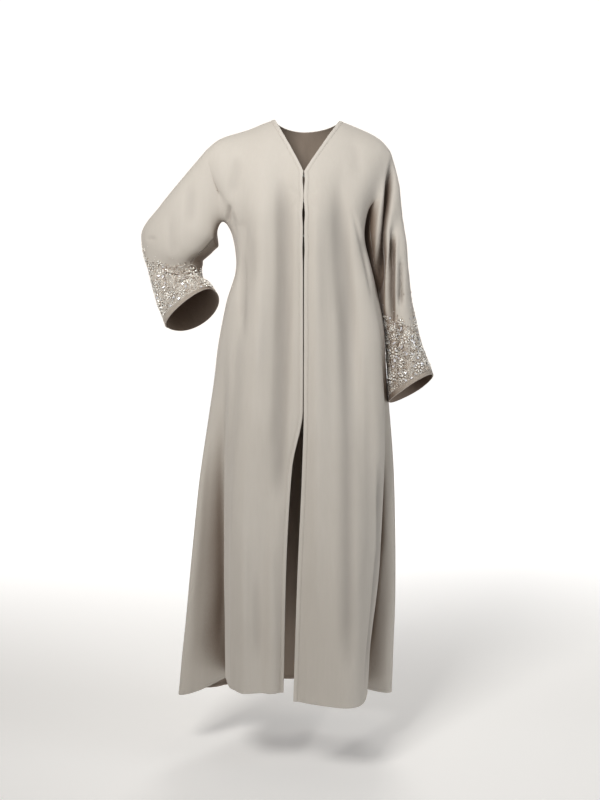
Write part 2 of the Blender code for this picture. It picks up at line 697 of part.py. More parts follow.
def strip_object(name, source, picked, thick, material):
    # a band lying on a panel, made from the panel's own points moved out
    n = normals[source]
    low = {key: p + n[key] * SEAM for key, p in panels[source].items()}
    high = {key: p + n[key] * (SEAM + thick) for key, p in panels[source].items()}
    return wall_object(name, high, low, picked, flips[source], material)


for panel in ("front_right", "front_left"):
    picked = [(i, j) for i, j in cells[panel] if i == 0]
    strip_object(panel.replace("front", "front_band"), panel, picked, BAND_THICK, edging)
top_row = ROWS_SKIRT + ROWS_CHEST + ROWS_NECK
picked = [(i, j) for i, j in cells["back"]
          if j == top_row - 1 and -(COLS_NECK + 1) <= i < COLS_NECK + 1]
strip_object("neck_band_back", "back", picked, BAND_THICK, edging)


def cuff_band(name, side):
    # closed ring on the sleeve end, front half then back half
    front = "front_" + side
    base_row = ROWS_SKIRT
    i_front = (COLS_FRONT + COLS_SLEEVE - 1, COLS_FRONT + COLS_SLEEVE)
    count_back = COLS_NECK + COLS_FRONT + COLS_SLEEVE
    i_back = (count_back - 1, count_back)
    sign = -1 if side == "right" else 1
    ring = []
    for j in range(base_row, top_row + 1):
        ring.append((front, [(i, j) for i in i_front]))
    for j in range(top_row - 1, base_row, -1):
        ring.append(("back", [(sign * i, j) for i in i_back]))
    rings = {0: [], 1: [], 2: [], 3: []}
    for source, keys in ring:
        for slot, key in enumerate(keys):
            p, n = grids[source][key], normals[source][key]
            rings[slot].append(p + n * (SEAM + CUFF_THICK))
            rings[slot + 2].append(p + n * SEAM)
    count = len(ring)
    verts = rings[0] + rings[1] + rings[3] + rings[2]
    tris = []
    for k in range(count):
        nxt = (k + 1) % count
        for layer in range(4):
            a, b = layer * count, ((layer + 1) % 4) * count
            quad = [a + k, b + k, b + nxt, a + nxt]
            if k < top_row - base_row:
                tris.append([quad[0], quad[1], quad[2]])
                tris.append([quad[0], quad[2], quad[3]])
            else:
                tris.append([quad[0], quad[1], quad[3]])
                tris.append([quad[1], quad[2], quad[3]])
    spans = np.array([[verts[n] for n in tri] for tri in tris])
    if np.einsum("ij,ij->i", spans[:, 0], np.cross(spans[:, 1], spans[:, 2])).sum() < 0:
        tris = [tri[::-1] for tri in tris]
    return build_object(name, verts, tris, beaded)


cuff_band("cuff_band_right", "right")
cuff_band("cuff_band_left", "left")


def disc(name, centre, radius, thick, material, sides=14):
    # round stud half with its faces to the front and back
    verts, tris = [], []
    for y in (0.0, thick):
        for k in range(sides):
            a = 2 * math.pi * k / sides
            verts.append((centre[0] + radius * math.cos(a), centre[1] + y,
                          centre[2] + radius * math.sin(a)))
    for k in range(1, sides - 1):
        tris.append([0, k, k + 1])
        tris.append([sides, sides + k + 1, sides + k])
    for k in range(sides):
        nxt = (k + 1) % sides
        tris.append([k, k + sides, nxt + sides])
        tris.append([k, nxt + sides, nxt])
    return build_object(name, verts, tris, material)


def surface_y(z):
    # how far back the inner face of the fronts lies at the opening
    pts = []
    for panel in ("front_right", "front_left"):
        for i in (0, 1):
            keys = sorted(key[1] for key in panels[panel] if key[0] == i)
            for dz in (-SNAP_RADIUS, SNAP_RADIUS):
                zs = [panels[panel][i, j][2] for j in keys]
                ys = [panels[panel][i, j][1] for j in keys]
                pts.append(float(np.interp(z + dz, zs, ys)))
    return max(pts)


for name, z in SNAPS:
    y = surface_y(z) + WALL + 2 * SEAM + 0.0004
    disc(name + "_socket", (0.0012, y, z), SNAP_RADIUS, SNAP_THICK, stud_metal)
    disc(name + "_stud", (0.0012, y + SNAP_THICK + SEAM, z), SNAP_RADIUS * 0.86, SNAP_THICK, stud_metal)
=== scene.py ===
# Looks of the abaya cloak: thin cloth shells on the frame's own form, with
# their folds, edge bands, corded cuffs, stitches, press studs and beadwork.
# Metres, +Z up, the wearer faces -Y, the wearer's right is -X.

import math
import bpy
import numpy as np
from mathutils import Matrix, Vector


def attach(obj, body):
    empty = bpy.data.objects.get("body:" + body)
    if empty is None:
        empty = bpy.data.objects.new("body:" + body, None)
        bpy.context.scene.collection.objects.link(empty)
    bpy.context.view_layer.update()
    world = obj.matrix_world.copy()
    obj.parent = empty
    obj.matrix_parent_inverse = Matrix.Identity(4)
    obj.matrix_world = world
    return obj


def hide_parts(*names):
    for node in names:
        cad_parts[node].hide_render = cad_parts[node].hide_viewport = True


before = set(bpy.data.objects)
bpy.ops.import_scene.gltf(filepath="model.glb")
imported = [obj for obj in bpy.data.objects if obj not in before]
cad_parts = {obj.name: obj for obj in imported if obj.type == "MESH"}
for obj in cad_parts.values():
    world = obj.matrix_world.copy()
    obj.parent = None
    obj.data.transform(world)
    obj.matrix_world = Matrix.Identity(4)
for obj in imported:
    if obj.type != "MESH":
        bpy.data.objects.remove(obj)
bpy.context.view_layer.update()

# ------------------------------------------------------------------ sizes --
CLOTH = 0.0007           # crepe, as a thin shell
BAND_WIDTH = 0.009
CUFF_WIDTH = 0.010
HEM_WIDTH = 0.006

RING_TOP_Z = -0.240
RING_HEM_Z = -1.330
V_POINT_Z = -0.118
YOKE_BASE = {"front": (-0.240, 2.0), "back": (-0.250, 3.0)}
ARMPIT_EASE = {"right": 0.078, "left": 0.115}
CUFF_DROOP = {"right": 0.022, "left": 0.004}

BAND_COLS = 4            # columns across the edge band
BODY_COLS = 86           # columns, band to side seam
SLEEVE_COLS = 104        # columns, armpit to cuff band
CUFF_COLS = 6
SKIRT_ROWS = 176
CHEST_ROWS = 22
NECK_ROWS = 30
NECK_COLS = 20           # back columns under the neckline, each side
EASE_PASSES = 900

# level rings: hull of the body of the garment
#  name      z      right_x  left_x  right_seam_y left_seam_y front_y back_y power
RINGS = (
    ("armpit", -0.24, -0.160, 0.139, -0.030, -0.045, -0.125, 0.115, 2.2),
    ("chest",  -0.32, -0.152, 0.138, -0.038, -0.045, -0.127, 0.112, 2.2),
    ("waist",  -0.42, -0.176, 0.163, -0.030, -0.040, -0.128, 0.110, 2.3),
    ("hip",    -0.55, -0.195, 0.188, -0.010, -0.025, -0.131, 0.115, 2.5),
    ("thigh",  -0.72, -0.197, 0.191,  0.000, -0.005, -0.145, 0.130, 2.8),
    ("knee",   -1.00, -0.193, 0.182,  0.015,  0.008, -0.170, 0.155, 3.0),
    ("hem",    -1.33, -0.188, 0.150,  0.030,  0.020, -0.196, 0.190, 3.0),
)

# where the two front edges stand
#  name       z      right_x   left_x
FRONT_EDGES = (
    ("v_point", -0.118, -0.0025, 0.0010),
    ("chest",   -0.240, -0.0035, 0.0005),
    ("opens",   -0.660, -0.0030, 0.0000),
    ("thigh",   -0.800, -0.0280, -0.0040),
    ("shin",    -1.050, -0.0420, -0.0150),
    ("hem",     -1.330, -0.0480, -0.0240),
)

# hem height against the way round the panel (0 centre, 1 side seam)
#  panel        centre   at_turn  turn  side
HEMS = {
    "front_right": (-1.305, -1.305, 0.45, -1.362),
    "front_left":  (-1.318, -1.326, 0.50, -1.363),
    "back_right":  (-1.390, -1.388, 0.40, -1.362),
    "back_left":   (-1.390, -1.388, 0.40, -1.363),
}

# standing folds, + ridge, - hollow.  place: way round the hull at armpit and
# hem; height and width in metres at armpit, hip, knee and hem
#  name            panel          top   hem   w_top  w_hem   armpit   hip     knee    hem
FOLDS = (
    ("side_flare",   "front_right", 1.00, 1.00, 0.040, 0.046,  0.000,  0.010,  0.056,  0.115),
    ("side_flare",   "back_right",  1.00, 1.00, 0.040, 0.070,  0.000,  0.010,  0.056,  0.115),
    ("flare_recess", "front_right", 0.82, 0.78, 0.022, 0.024,  0.000, -0.004, -0.014, -0.026),
    ("side_flare",   "front_left",  1.00, 1.00, 0.035, 0.040,  0.000,  0.000,  0.026,  0.064),
    ("side_flare",   "back_left",   1.00, 1.00, 0.035, 0.070,  0.000,  0.000,  0.026,  0.064),
    ("edge_roll",    "front_right", 0.00, 0.00, 0.030, 0.026,  0.000, -0.001, -0.010, -0.024),
    ("by_opening",   "front_right", 0.20, 0.17, 0.030, 0.022, -0.010, -0.010, -0.006, -0.016),
    ("breast_line",  "front_right", 0.46, 0.30, 0.036, 0.030,  0.008,  0.012,  0.012,  0.010),
    ("waist_line",   "front_right", 0.72, 0.52, 0.024, 0.026, -0.006, -0.009, -0.004,  0.004),
    ("edge_ridge",   "front_left",  0.14, 0.10, 0.024, 0.030,  0.004,  0.007,  0.006,  0.004),
    ("breast_drop",  "front_left",  0.50, 0.44, 0.028, 0.020, -0.010, -0.010, -0.008, -0.004),
    ("front_lobe",   "front_left",  0.36, 0.34, 0.050, 0.062,  0.000,  0.003,  0.024,  0.054),
    ("hip_ridge",    "front_left",  0.76, 0.66, 0.030, 0.026,  0.002,  0.008,  0.008,  0.002),
    ("under_arm",    "back_right",  0.78, 0.78, 0.045, 0.040,  0.012,  0.004,  0.000,  0.000),
    ("under_arm",    "back_left",   0.80, 0.80, 0.040, 0.040,  0.000,  0.000,  0.000,  0.000),
    ("inner_drop",   "back_right",  0.20, 0.16, 0.044, 0.050,  0.000, -0.006, -0.014, -0.022),
    ("long_ridge",   "back_right",  0.42, 0.38, 0.044, 0.052,  0.004,  0.010,  0.018,  0.026),
    ("outer_drop",   "back_right",  0.66, 0.62, 0.038, 0.044,  0.000, -0.008, -0.016, -0.024),
    ("inner_drop",   "back_left",   0.28, 0.30, 0.044, 0.048,  0.000, -0.008, -0.016, -0.020),
    ("long_ridge",   "back_left",   0.50, 0.54, 0.040, 0.048,  0.004,  0.008,  0.020,  0.030),
    ("outer_drop",   "back_left",   0.70, 0.76, 0.034, 0.040,  0.000, -0.006, -0.012, -0.016),
    ("centre_ridge", "back_left",   0.08, 0.06, 0.036, 0.044,  0.000,  0.003,  0.010,  0.014),
    # finer folds that the frame's coarse facets leave out
    ("soft_edge",    "front_right", 0.74, 0.66, 0.016, 0.016,  0.000,  0.002,  0.005,  0.006),
    ("shin_ridge",   "front_right", 0.52, 0.44, 0.014, 0.014,  0.000,  0.001,  0.003,  0.005),
    ("shin_hollow",  "front_right", 0.40, 0.24, 0.014, 0.014,  0.000, -0.001, -0.003, -0.005),
    ("lobe_recess",  "front_left",  0.84, 0.80, 0.014, 0.015,  0.000, -0.004, -0.014, -0.020),
    ("thin_ridge",   "front_left",  0.64, 0.60, 0.016, 0.014,  0.000,  0.002,  0.003,  0.003),
    ("thin_hollow",  "front_left",  0.26, 0.24, 0.018, 0.016,  0.000, -0.002, -0.003, -0.003),
    ("long_hollow",  "back_right",  0.30, 0.28, 0.018, 0.020,  0.000, -0.002, -0.005, -0.008),
    ("long_pleat",   "back_right",  0.54, 0.50, 0.016, 0.018,  0.000,  0.003,  0.006,  0.008),
    ("back_recess",  "back_right",  0.84, 0.82, 0.018, 0.020,  0.000, -0.004, -0.016, -0.024),
    ("long_hollow",  "back_left",   0.40, 0.42, 0.018, 0.018,  0.000, -0.002, -0.005, -0.007),
    ("long_pleat",   "back_left",   0.62, 0.66, 0.015, 0.017,  0.000,  0.002,  0.006,  0.008),
    ("back_recess",  "back_left",   0.84, 0.86, 0.016, 0.018,  0.000, -0.003, -0.010, -0.014),
)

# folds that lean: cloth moved forward (+) or back (-) along the wearer's depth
# place: way round the hull at armpit and hem; then width, and the move at
# armpit, hip, knee and hem
#  name             panel          top   hem   width  armpit hip    knee    hem
LEANS = (
    ("flare_tip",     "front_right", 1.00, 1.00, 0.040, 0.000, 0.000,  0.022,  0.052),
    ("flare_tip",     "back_right",  1.00, 1.00, 0.060, 0.000, 0.000,  0.022,  0.052),
    ("flare_recess",  "front_right", 0.80, 0.76, 0.034, 0.000, 0.000, -0.034, -0.066),
    ("flare_tip",     "front_left",  1.00, 1.00, 0.036, 0.000, 0.000,  0.008,  0.020),
    ("flare_tip",     "back_left",   1.00, 1.00, 0.056, 0.000, 0.000,  0.008,  0.020),
    ("lobe_recess",   "front_left",  0.82, 0.80, 0.030, 0.000, 0.000, -0.016, -0.034),
)

# shoulder line of the yoke (way: 0 centre .. 1 over the armpit)
#  name         way    x       y      z
SHOULDER = {
    "right": (("centre", 0.00,  0.000, 0.000,  0.014),
              ("neck",   0.30, -0.068, 0.000,  0.003),
              ("slope",  0.56, -0.124, 0.000, -0.018),
              ("tip",    0.84, -0.194, 0.000, -0.042),
              ("arm",    1.00, -0.224, 0.000, -0.066)),
    "left":  (("centre", 0.00,  0.000, 0.000,  0.014),
              ("neck",   0.38,  0.082, 0.000,  0.000),
              ("slope",  0.62,  0.129, 0.000, -0.017),
              ("tip",    0.84,  0.173, 0.000, -0.042),
              ("arm",    1.00,  0.199, 0.000, -0.070)),
}
# how each sleeve half leaves the armpit
#  panel         rise   reach  hold
ROOTS = {
    "front_right": (0.050, 0.010, 0.60),
    "back_right":  (0.055, 0.050, 0.60),
    "front_left":  (0.050, 0.010, 0.60),
    "back_left":   (0.030, 0.030, 0.40),
}
NECK_WAY = {"right": 0.30, "left": 0.38}
BACK_NECK = (0.066, -0.022)

# sleeve stations: under-arm seam point, over-arm seam point, and how far the
# front and back halves swell, with the sag of the back half below the seam
#  name      under x, y, z            over x, y, z             front  back   sag
SLEEVES = {
    "right": (
        ("armpit", -0.160, -0.034, -0.238, -0.224, 0.000, -0.066, 0.046, 0.088, 0.014),
        ("upper",  -0.201, -0.035, -0.262, -0.275, 0.010, -0.125, 0.044, 0.086, 0.022),
        ("middle", -0.236, -0.030, -0.297, -0.333, 0.030, -0.193, 0.042, 0.080, 0.016),
        ("elbow",  -0.262, -0.018, -0.326, -0.379, 0.050, -0.262, 0.042, 0.070, 0.020),
        ("fore",   -0.258, -0.012, -0.348, -0.372, 0.046, -0.312, 0.044, 0.066, 0.020),
        ("wrist",  -0.236, -0.026, -0.362, -0.350, 0.016, -0.392, 0.046, 0.066, 0.010),
        ("cuff",   -0.214, -0.045, -0.384, -0.317, -0.015, -0.476, 0.048, 0.074, 0.000)),
    "left": (
        ("armpit", 0.139, -0.045, -0.170, 0.199, 0.000, -0.070, 0.030, 0.090, 0.000),
        ("upper",  0.158, -0.045, -0.220, 0.218, 0.000, -0.153, 0.034, 0.092, 0.000),
        ("middle", 0.168, -0.035, -0.284, 0.231, 0.005, -0.235, 0.040, 0.086, 0.000),
        ("elbow",  0.178, -0.015, -0.353, 0.242, 0.005, -0.324, 0.050, 0.076, 0.000),
        ("fore",   0.192,  0.000, -0.431, 0.252, 0.000, -0.407, 0.056, 0.064, 0.000),
        ("wrist",  0.204,  0.000, -0.518, 0.270, -0.010, -0.496, 0.058, 0.060, 0.000),
        ("cuff",   0.207, -0.018, -0.651, 0.299, -0.035, -0.583, 0.060, 0.060, 0.000)),
}
ARMPIT_SHIFT = {"right": (-0.010, 0.040, 0.020), "left": (0.010, 0.045, 0.010)}

# broad creases of the yoke block: from one (way, up) place to another.
# way 0..1 centre to armpit, 1..2 armpit to cuff; up 0 under-arm .. 1 over-arm
#  name           panel          way_a  up_a  way_b  up_b   width   height
CREASES = (
    ("shoulder_fall", "front_left",  1.02, 0.96, 1.46, 0.10, 0.024, -0.014),
    ("sleeve_drop",   "front_left",  1.40, 0.56, 1.96, 0.40, 0.022, -0.010),
    ("elbow_fold",    "front_right", 1.66, 0.04, 1.72, 0.66, 0.022, -0.010),
    ("shoulder_fall", "back_left",   1.06, 0.90, 1.50, 0.20, 0.026, -0.010),
    ("elbow_fold",    "back_right",  1.64, 0.06, 1.72, 0.66, 0.022, -0.008),
)

# sharper creases, placed in the plane that faces the front (x, z): a trough
# (-) or ridge (+) with its own width on its low-x and high-x side, and how
# much of its length each end takes to fade
#  name            panel          low    high   height  fade  course
PRESSED = (
    ("shoulder_deep",  "front_left",  0.0060, 0.0085, -0.026, 0.30, ((0.205, -0.066), (0.202, -0.100), (0.195, -0.140), (0.189, -0.185), (0.183, -0.230), (0.178, -0.290), (0.174, -0.350), (0.172, -0.420))),
    ("shoulder_lip",   "front_left",  0.0120, 0.0060,  0.006, 0.30, ((0.194, -0.110), (0.186, -0.160), (0.178, -0.215), (0.172, -0.280), (0.168, -0.350))),
    ("sleeve_ridge_1", "front_left",  0.0050, 0.0070,  0.006, 0.25, ((0.196, -0.240), (0.192, -0.320), (0.191, -0.410), (0.193, -0.480))),
    ("sleeve_hollow_1","front_left",  0.0065, 0.0060, -0.013, 0.25, ((0.206, -0.225), (0.203, -0.300), (0.201, -0.390), (0.203, -0.490))),
    ("sleeve_ridge_2", "front_left",  0.0050, 0.0050,  0.005, 0.25, ((0.214, -0.250), (0.212, -0.330), (0.212, -0.420))),
    ("sleeve_hollow_2","front_left",  0.0055, 0.0070, -0.008, 0.30, ((0.225, -0.300), (0.224, -0.365), (0.222, -0.440))),
    ("beaded_hollow",  "front_left",  0.0060, 0.0080, -0.008, 0.25, ((0.216, -0.450), (0.218, -0.525), (0.215, -0.610))),
    ("beaded_ridge",   "front_left",  0.0080, 0.0080,  0.004, 0.25, ((0.232, -0.470), (0.238, -0.530), (0.242, -0.595))),
    ("chest_line",     "front_left",  0.0060, 0.0030, -0.004, 0.35, ((0.104, -0.192), (0.122, -0.250), (0.138, -0.312), (0.150, -0.372), (0.158, -0.430))),
    ("chest_line_lip", "front_left",  0.0040, 0.0060,  0.002, 0.35, ((0.112, -0.196), (0.130, -0.254), (0.145, -0.314), (0.156, -0.374))),
    ("long_hollow",    "front_left",  0.0240, 0.0170, -0.009, 0.16, ((0.067, -0.100), (0.082, -0.220), (0.094, -0.340), (0.099, -0.500), (0.099, -0.800), (0.099, -1.080), (0.098, -1.300))),
    ("edge_ridge",     "front_left",  0.0140, 0.0160,  0.004, 0.16, ((0.022, -0.130), (0.024, -0.300), (0.026, -0.600), (0.030, -0.900), (0.032, -1.200))),
    ("side_ridge",     "front_left",  0.0140, 0.0120,  0.004, 0.20, ((0.132, -0.420), (0.134, -0.640), (0.134, -0.860), (0.128, -1.100))),
    ("lobe_crease",    "front_left",  0.0050, 0.0120, -0.009, 0.20, ((0.172, -0.760), (0.174, -0.830), (0.174, -0.970), (0.169, -1.019), (0.156, -1.164), (0.136, -1.310))),
    ("neck_fall",      "front_left",  0.0160, 0.0160, -0.003, 0.40, ((0.110, -0.030), (0.118, -0.090), (0.122, -0.150))),
    ("long_hollow",    "front_right", 0.0190, 0.0160, -0.009, 0.16, ((-0.050, -0.090), (-0.046, -0.220), (-0.045, -0.360), (-0.048, -0.520), (-0.054, -0.700), (-0.060, -0.900))),
    ("breast_ridge",   "front_right", 0.0140, 0.0140,  0.005, 0.25, ((-0.099, -0.160), (-0.099, -0.300), (-0.103, -0.460), (-0.109, -0.640))),
    ("shin_ridge_1",   "front_right", 0.0100, 0.0100,  0.005, 0.30, ((-0.134, -0.900), (-0.136, -1.060), (-0.138, -1.250))),
    ("shin_valley",    "front_right", 0.0130, 0.0130, -0.0045, 0.40, ((-0.112, -0.960), (-0.109, -1.120), (-0.106, -1.290))),
    ("shin_ridge_2",   "front_right", 0.0110, 0.0110,  0.005, 0.30, ((-0.078, -0.900), (-0.074, -1.080), (-0.072, -1.270))),
    ("recess_edge",    "front_right", 0.0120, 0.0060, -0.003, 0.18, ((-0.176, -0.540), (-0.1868, -0.729), (-0.1913, -0.916), (-0.1936, -1.107), (-0.2027, -1.295))),
    ("arm_fall",       "front_right", 0.0140, 0.0180, -0.004, 0.35, ((-0.152, -0.060), (-0.158, -0.120), (-0.172, -0.190))),
    ("armpit_tuck",    "front_right", 0.0035, 0.0060, -0.006, 0.35, ((-0.170, -0.188), (-0.174, -0.210), (-0.178, -0.238))),
    ("armpit_tuck_2",  "front_right", 0.0050, 0.0040, -0.003, 0.40, ((-0.162, -0.205), (-0.160, -0.230), (-0.157, -0.262))),
    ("rib_line",       "front_right", 0.0090, 0.0090, -0.006, 0.35, ((-0.137, -0.262), (-0.139, -0.340), (-0.140, -0.440), (-0.136, -0.520))),
    ("elbow_nick",     "front_right", 0.0035, 0.0035, -0.0035, 0.30, ((-0.369, -0.273), (-0.356, -0.269), (-0.341, -0.271))),
    ("elbow_inner",    "front_right", 0.0040, 0.0050, -0.010, 0.35, ((-0.306, -0.372), (-0.290, -0.367), (-0.274, -0.360), (-0.256, -0.350))),
    ("upper_arm_fall", "front_right", 0.0160, 0.0200, -0.004, 0.40, ((-0.262, -0.118), (-0.262, -0.190), (-0.268, -0.262))),
    ("lower_arm_fall", "front_right", 0.0120, 0.0140, -0.003, 0.40, ((-0.312, -0.200), (-0.306, -0.270), (-0.300, -0.330))),
    ("beaded_fold",    "front_right", 0.0080, 0.0100, -0.004, 0.35, ((-0.336, -0.330), (-0.318, -0.372), (-0.300, -0.420))),
    ("under_seam_lip", "front_right", 0.0025, 0.0025,  0.0022, 0.20, ((-0.172, -0.243), (-0.201, -0.262), (-0.236, -0.297), (-0.262, -0.326))),
    ("pinch_1",        "front_right", 0.0025, 0.0025, -0.0014, 0.35, ((-0.006, -0.172), (-0.020, -0.164), (-0.036, -0.150))),
    ("pinch_2",        "front_right", 0.0030, 0.0030, -0.0012, 0.35, ((-0.006, -0.180), (-0.022, -0.190), (-0.036, -0.206))),
    ("pinch_1",        "front_left",  0.0025, 0.0025, -0.0014, 0.35, ((0.005, -0.174), (0.020, -0.166), (0.034, -0.154))),
    ("pinch_2",        "front_left",  0.0030, 0.0030, -0.0012, 0.35, ((0.005, -0.182), (0.022, -0.196), (0.034, -0.216))),
    ("left_arm_fall",  "back",        0.0100, 0.0100, -0.010, 0.30, ((0.200, -0.110), (0.194, -0.200), (0.196, -0.300), (0.204, -0.380))),
    ("left_arm_fall_2","back",        0.0080, 0.0080, -0.006, 0.30, ((0.222, -0.230), (0.222, -0.330), (0.230, -0.440))),
    ("left_beaded",    "back",        0.0080, 0.0080, -0.006, 0.30, ((0.232, -0.450), (0.240, -0.530), (0.250, -0.600))),
    ("shoulder_drag_r","back",        0.0160, 0.0160, -0.005, 0.35, ((-0.100, -0.060), (-0.128, -0.150), (-0.160, -0.240))),
    ("shoulder_drag_l","back",        0.0140, 0.0140, -0.005, 0.35, ((0.090, -0.060), (0.112, -0.140), (0.132, -0.230), (0.140, -0.330))),
    ("blade_fall_r",   "back",        0.0180, 0.0180, -0.004, 0.35, ((-0.052, -0.120), (-0.060, -0.260), (-0.058, -0.440))),
    ("blade_fall_l",   "back",        0.0160, 0.0160, -0.004, 0.35, ((0.040, -0.140), (0.052, -0.300), (0.060, -0.470))),
    ("right_arm_drop", "back",        0.0140, 0.0160, -0.008, 0.35, ((-0.220, -0.120), (-0.246, -0.200), (-0.262, -0.290))),
    ("right_arm_drop2","back",        0.0120, 0.0120, -0.006, 0.35, ((-0.270, -0.160), (-0.300, -0.250), (-0.310, -0.330))),
    ("right_elbow",    "back",        0.0080, 0.0100, -0.006, 0.30, ((-0.350, -0.290), (-0.320, -0.310), (-0.280, -0.330))),
    ("right_beaded",   "back",        0.0080, 0.0080, -0.004, 0.35, ((-0.330, -0.350), (-0.300, -0.400), (-0.280, -0.440))),
)

# press studs, from the V point down
#  name      z
SNAPS = (("snap_1", -0.128), ("snap_2", -0.185), ("snap_3", -0.262))

# ----------------------------------------------------------- small tools --


def column(table, index):
    return np.array([row[index] for row in table], dtype=float)


def smooth_slopes(xs, ys):
    h = np.diff(xs)
    d = np.diff(ys, axis=0) / (h if ys.ndim == 1 else h[:, None])
    m = np.zeros_like(ys)
    m[0], m[-1] = d[0], d[-1]
    for k in range(1, len(xs) - 1):
        w1, w2 = 2 * h[k] + h[k - 1], h[k] + 2 * h[k - 1]
        same = d[k - 1] * d[k] > 0
        safe_a = np.where(same, d[k - 1], 1.0)
        safe_b = np.where(same, d[k], 1.0)
        m[k] = np.where(same, (w1 + w2) / (w1 / safe_a + w2 / safe_b), 0.0)
    return m


def through(xs, ys, x):
    # smooth curve through a table, for one place or many
    order = np.argsort(xs)
    xs, ys = np.asarray(xs, float)[order], np.asarray(ys, float)[order]
    m = smooth_slopes(xs, ys)
    x = np.clip(np.asarray(x, float), xs[0], xs[-1])
    k = np.clip(np.searchsorted(xs, x, side="right") - 1, 0, len(xs) - 2)
    h = xs[k + 1] - xs[k]
    q = (x - xs[k]) / h
    if ys.ndim == 2:
        h, q = h[..., None], q[..., None]
    return ((2 * q ** 3 - 3 * q ** 2 + 1) * ys[k] + (q ** 3 - 2 * q ** 2 + q) * h * m[k]
            + (-2 * q ** 3 + 3 * q ** 2) * ys[k + 1] + (q ** 3 - q ** 2) * h * m[k + 1])


def ease(q):
    q = np.clip(q, 0.0, 1.0)
    return q * q * (3 - 2 * q)


def unit(v):
    return v / np.maximum(np.linalg.norm(v, axis=-1, keepdims=True), 1e-12)


FOLD_LEVELS = (-1.33, -0.85, -0.52, -0.24)
RING_Z = column(RINGS, 1)


def side_of(panel):
    return panel.split("_")[1]


def ring_curve(panel, z, count=301):
    # one level ring of a panel, from its centre edge to the side seam
    side, front = side_of(panel), panel.startswith("front")
    seam_x = through(RING_Z, column(RINGS, 2 if side == "right" else 3), z)
    seam_y = through(RING_Z, column(RINGS, 4 if side == "right" else 5), z)
    mid_y = through(RING_Z, column(RINGS, 6 if front else 7), z)
    power = through(RING_Z, column(RINGS, 8), z)
    start_x = through(column(FRONT_EDGES, 1),
                      column(FRONT_EDGES, 2 if side == "right" else 3), z) if front else 0.0
    a = np.linspace(0, math.pi / 2, 721)
    x = start_x + (seam_x - start_x) * np.sin(a) ** (2 / power)
    y = seam_y + (mid_y - seam_y) * np.cos(a) ** (2 / power)
    run = np.concatenate([[0], np.cumsum(np.hypot(np.diff(x), np.diff(y)))])
    at = np.linspace(0, run[-1], count)
    x, y = np.interp(at, run, x), np.interp(at, run, y)
    tx, ty = np.gradient(x, at), np.gradient(y, at)
    out = np.stack([ty, -tx], axis=1)
    if side == "right":
        out = -out
    if not front:
        out = -out
    out = unit(out)
    out[0] = (0, -1 if front else 1)
    out[-1] = (-1 if side == "right" else 1, 0)
    way_down = (RING_TOP_Z - z) / (RING_TOP_Z - RING_HEM_Z)
    push = np.zeros(count)
    for name, where, top, hem, w_top, w_hem, h_arm, h_hip, h_knee, h_hem in FOLDS:
        if where != panel:
            continue
        place = (top + (hem - top) * way_down) * run[-1]
        width = w_top + (w_hem - w_top) * way_down
        height = through(FOLD_LEVELS, (h_hem, h_knee, h_hip, h_arm), z)
        bump = height * np.exp(-((at - place) / width) ** 2)
        if top > 0:
            bump = bump * ease(at / 0.03)
        if top < 1:
            bump = bump * ease((run[-1] - at) / 0.03)
        push += bump
    x, y = x + push * out[:, 0], y + push * out[:, 1]
    for name, where, top, hem, width, m_arm, m_hip, m_knee, m_hem in LEANS:
        if where == panel:
            place = (top + (hem - top) * way_down) * run[-1]
            move = through(FOLD_LEVELS, (m_hem, m_knee, m_hip, m_arm), z)
            bump = move * np.exp(-((at - place) / width) ** 2) * ease(at / 0.03)
            y = y - (bump * ease((run[-1] - at) / 0.03) if top < 1 else bump)
    run = np.concatenate([[0], np.cumsum(np.hypot(np.diff(x), np.diff(y)))])
    return x, y, run


def hem_height(panel, way):
    centre, at_turn, turn, side = HEMS[panel]
    way = np.asarray(way, float)
    inner = centre + (at_turn - centre) * ease(way / turn)
    outer = at_turn + (side - at_turn) * ease((way - turn) / (1 - turn))
    return np.where(way < turn, inner, outer)


def ring_top(panel, way):
    z_arm = SLEEVES[side_of(panel)][0][3]
    level, climb = YOKE_BASE["front" if panel.startswith("front") else "back"]
    return level + (z_arm - level) * np.asarray(way, float) ** climb


def skirt(panel, ways, v):
    # points of one skirt row; v 0 hem .. 1 armpit ring
    x, y, run = ring_curve(panel, RING_HEM_Z + (RING_TOP_Z - RING_HEM_Z) * v)
    ways = np.asarray(ways, float)
    at = ways * run[-1]
    low, high = hem_height(panel, ways), ring_top(panel, ways)
    return np.stack([np.interp(at, run, x), np.interp(at, run, y), low + (high - low) * v], axis=1)


def stations(side):
    rows = SLEEVES[side]
    under = np.array([r[1:4] for r in rows])
    over = np.array([r[4:7] for r in rows])
    step = 0.5 * (np.linalg.norm(np.diff(under, axis=0), axis=1)
                  + np.linalg.norm(np.diff(over, axis=0), axis=1))
    way = np.concatenate([[0], np.cumsum(step)]) / step.sum()
    return way, under, over, column(rows, 7), column(rows, 8), column(rows, 9)


def sleeve_frame(side, w):
    way, under, over, front, back, sag = stations(side)
    b, t = through(way, under, w), through(way, over, w)
    eps = 0.02
    lo, hi = np.clip(w - eps, 0, 1), np.clip(w + eps, 0, 1)
    axis = unit((through(way, under, hi) + through(way, over, hi))
                - (through(way, under, lo) + through(way, over, lo)))
    up = unit(t - b)
    fwd = unit(np.cross(up, axis))
    fwd = np.where(fwd[..., 1:2] > 0, -fwd, fwd)
    return (b, t, up, fwd, axis, through(way, front, w), through(way, back, w),
            through(way, sag, w))


